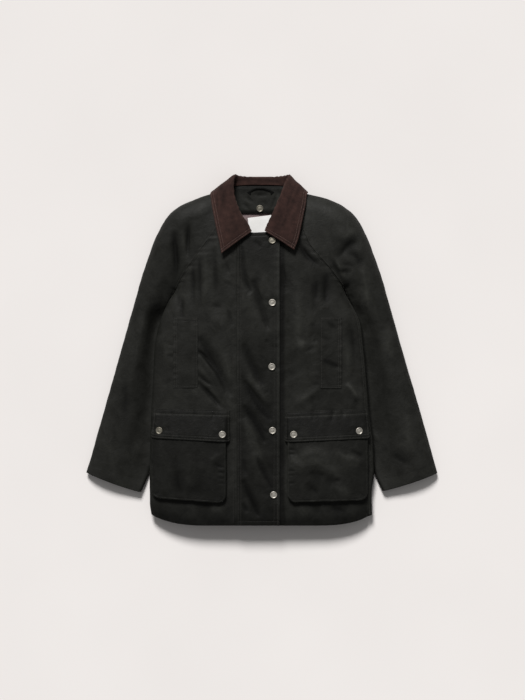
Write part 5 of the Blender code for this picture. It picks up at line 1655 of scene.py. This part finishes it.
def add_loop():
    """A ribbon sewn down at both ends, standing off the facing in between."""
    points = np.array(LOOP_POINTS, float)
    line = rows_at(np.arange(len(points)), points, np.linspace(0, len(points) - 1, LOOP_STEPS))
    line[:, 2] += over_back(line[:, 0], line[:, 1]) + FACING_THICKNESS + LAY_GAP + LOOP_THICKNESS / 2
    ahead = np.gradient(line, axis=0)
    sideways = unit(np.stack([-ahead[:, 1], ahead[:, 0], np.zeros(len(line))], axis=1))
    out = spaced(LOOP_WIDTH, near(), near(), 4)[:, None]
    steps = np.arange(LOOP_STEPS)
    widen = 1 + (LOOP_FOOT - 1) * (1 - ease_both(np.minimum(steps, steps[::-1]) / 9))
    grid = line[None] + sideways[None] * ((out - LOOP_WIDTH / 2) * widen)[..., None]
    normal = unit(np.cross(ahead, sideways))[None] * np.ones((len(out), 1, 1))
    edge = np.minimum(out, LOOP_WIDTH - out) * np.ones(len(line))
    dark = {"wear_and_shading": np.full(edge.shape, -1.0)}
    made = shell("hanger_loop_cloth", grid, normal, LOOP_THICKNESS, edge, ("waxed_pocket",), dark)
    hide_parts("hanger_loop")


# ---------------------------------------------------------------- snaps
# radius and height of its rings, from the middle of its face round to its back
SNAP_PROFILE = (
    (0.0, 2.25),
    (1.6, 2.2),
    (3.2, 2.02),
    (4.5, 1.8),
    (5.1, 1.78),
    (5.6, 2.15),
    (6.2, 2.6),
    (6.8, 2.62),
    (7.35, 2.25),
    (7.7, 1.6),
    (7.75, 1.0),
    (7.5, 0.4),
    (7.1, 0.0),
    (0.0, 0.0),
)
SNAP_STEPS = 40
SNAP_SUNK = 0.3
DULL_SNAPS = ("snap_neck", "snap_fly_1", "snap_flap_right_outer")
NECK_SNAP = (-4.6, 311.5)


def add_snap(node, point, normal):
    turn = Vector(normal).normalized().to_track_quat("Z", "Y")
    angles = [2 * math.pi * k / SNAP_STEPS for k in range(SNAP_STEPS)]
    circle = [(math.cos(angle), math.sin(angle)) for angle in angles]
    points = [(radius * c, radius * s, height) for radius, height in SNAP_PROFILE[1:-1] for c, s in circle]
    rings = len(SNAP_PROFILE) - 2
    faces = [(a, d, c, b) for a, b, c, d in ring_faces(rings, SNAP_STEPS)]
    top, low, last = len(points), len(points) + 1, (rings - 1) * SNAP_STEPS
    points += [(0, 0, SNAP_PROFILE[0][1]), (0, 0, SNAP_PROFILE[-1][1])]
    for k in range(SNAP_STEPS):
        after = (k + 1) % SNAP_STEPS
        faces += [(top, k, after), (low, last + after, last + k)]
    placed = [np.array(turn @ Vector(p)) + point for p in points]
    look = "dull_metal" if node in DULL_SNAPS else "snap_metal"
    made = make_object(f"{node}_cap", placed, faces, (look,))
    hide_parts(node)


def add_body_snap(node, x, y, lift):
    across = across_at(x, y)
    normal = body_normal(across, y)
    add_snap(node, body(across, y) + normal * (lift - SNAP_SUNK), normal)


def add_snaps():
    for number, (x, y) in enumerate(FLY_SNAPS, 1):
        add_body_snap(f"snap_fly_{number}", x, y, LAY_GAP + FLY_THICKNESS)
    for name, snaps in FLAP_SNAPS.items():
        for where, (x, y) in zip(("inner", "outer"), snaps):
            lift = flap_lift(abs(y - FLAPS[name]["top"][0])) + FLAP_THICKNESS
            add_body_snap(f"snap_flap_{name}_{where}", x, y, lift)
    x, y = NECK_SNAP
    add_snap("snap_neck", np.array([x, y, over_back(x, y) + FACING_THICKNESS + 0.1]), (0.0, 0.0, 1.0))


# ---------------------------------------------------------------- the place it lies in
KEY_LIGHT = 4.2
KEY_ELEVATION = 40.0
KEY_ANGLE = 19.0
KEY_FROM_LEFT = 0.16
FILL = 0.22
TABLE_REACH, TABLE_Z = 6000.0, -0.3
PX = 2.2  # millimetres to a point of the picture
PICTURE_HEIGHT = 700
CAMERA_HEIGHT = 6000.0
SCALE_HEIGHT = 15.0  # the height at which PX holds
SENSOR = 36.0


def add_table():
    looks = {"Roughness": 0.9, "Specular IOR Level": 0.1}
    made, tree, shader, place = new_material("table_look", looks)
    stops = ((0.3, (0.79, 0.764, 0.752)), (0.7, (0.81, 0.784, 0.772)))
    tree.links.new(ramp(tree, noise(tree, place, 3, 2), *stops), shader.inputs["Base Color"])
    MATERIALS["table"] = made
    corners = ((-1, -1), (1, -1), (1, 1), (-1, 1))
    points = [(x * TABLE_REACH, y * TABLE_REACH, TABLE_Z) for x, y in corners]
    floor = make_object("table_top", points, [(0, 1, 2, 3)], ("table",))


def add_light():
    scene = bpy.context.scene
    world = bpy.data.worlds.new("room")
    scene.world = world
    world.use_nodes = True
    background = world.node_tree.nodes["Background"]
    background.inputs["Color"].default_value = (1.0, 0.995, 0.99, 1)
    background.inputs["Strength"].default_value = FILL
    lamp = bpy.data.lights.new("window", "SUN")
    lamp.energy = KEY_LIGHT
    lamp.angle = math.radians(KEY_ANGLE)
    lamp.color = (1.0, 0.985, 0.97)
    held = bpy.data.objects.new("window", lamp)
    scene.collection.objects.link(held)
    elevation = math.radians(KEY_ELEVATION)
    away = Vector((-KEY_FROM_LEFT, math.cos(elevation), math.sin(elevation)))
    held.rotation_euler = away.to_track_quat("Z", "Y").to_euler()


def add_camera():
    scene = bpy.context.scene
    scene.view_settings.view_transform = "Standard"
    camera = bpy.data.cameras.new("camera")
    camera.sensor_width = SENSOR
    camera.lens = SENSOR * CAMERA_HEIGHT / (PICTURE_HEIGHT * PX)
    view = bpy.data.objects.new("camera", camera)
    scene.collection.objects.link(view)
    view.location = (0.5 * PX * MM, 0, (CAMERA_HEIGHT + SCALE_HEIGHT) * MM)
    view.rotation_euler = (0, 0, 0)
    camera.clip_start, camera.clip_end = 0.1, 50
    scene.camera = view


def main():
    add_back()
    for name in SIDES:
        add_front(name)
        add_sleeve(name)
        add_welt(name)
        add_bag(name)
        add_flap(name)
    add_fly()
    add_collar()
    add_neck()
    add_loop()
    add_snaps()
    add_stitches("thread")
    add_stitches("brown_thread")
    add_table()
    add_light()
    add_camera()


main()
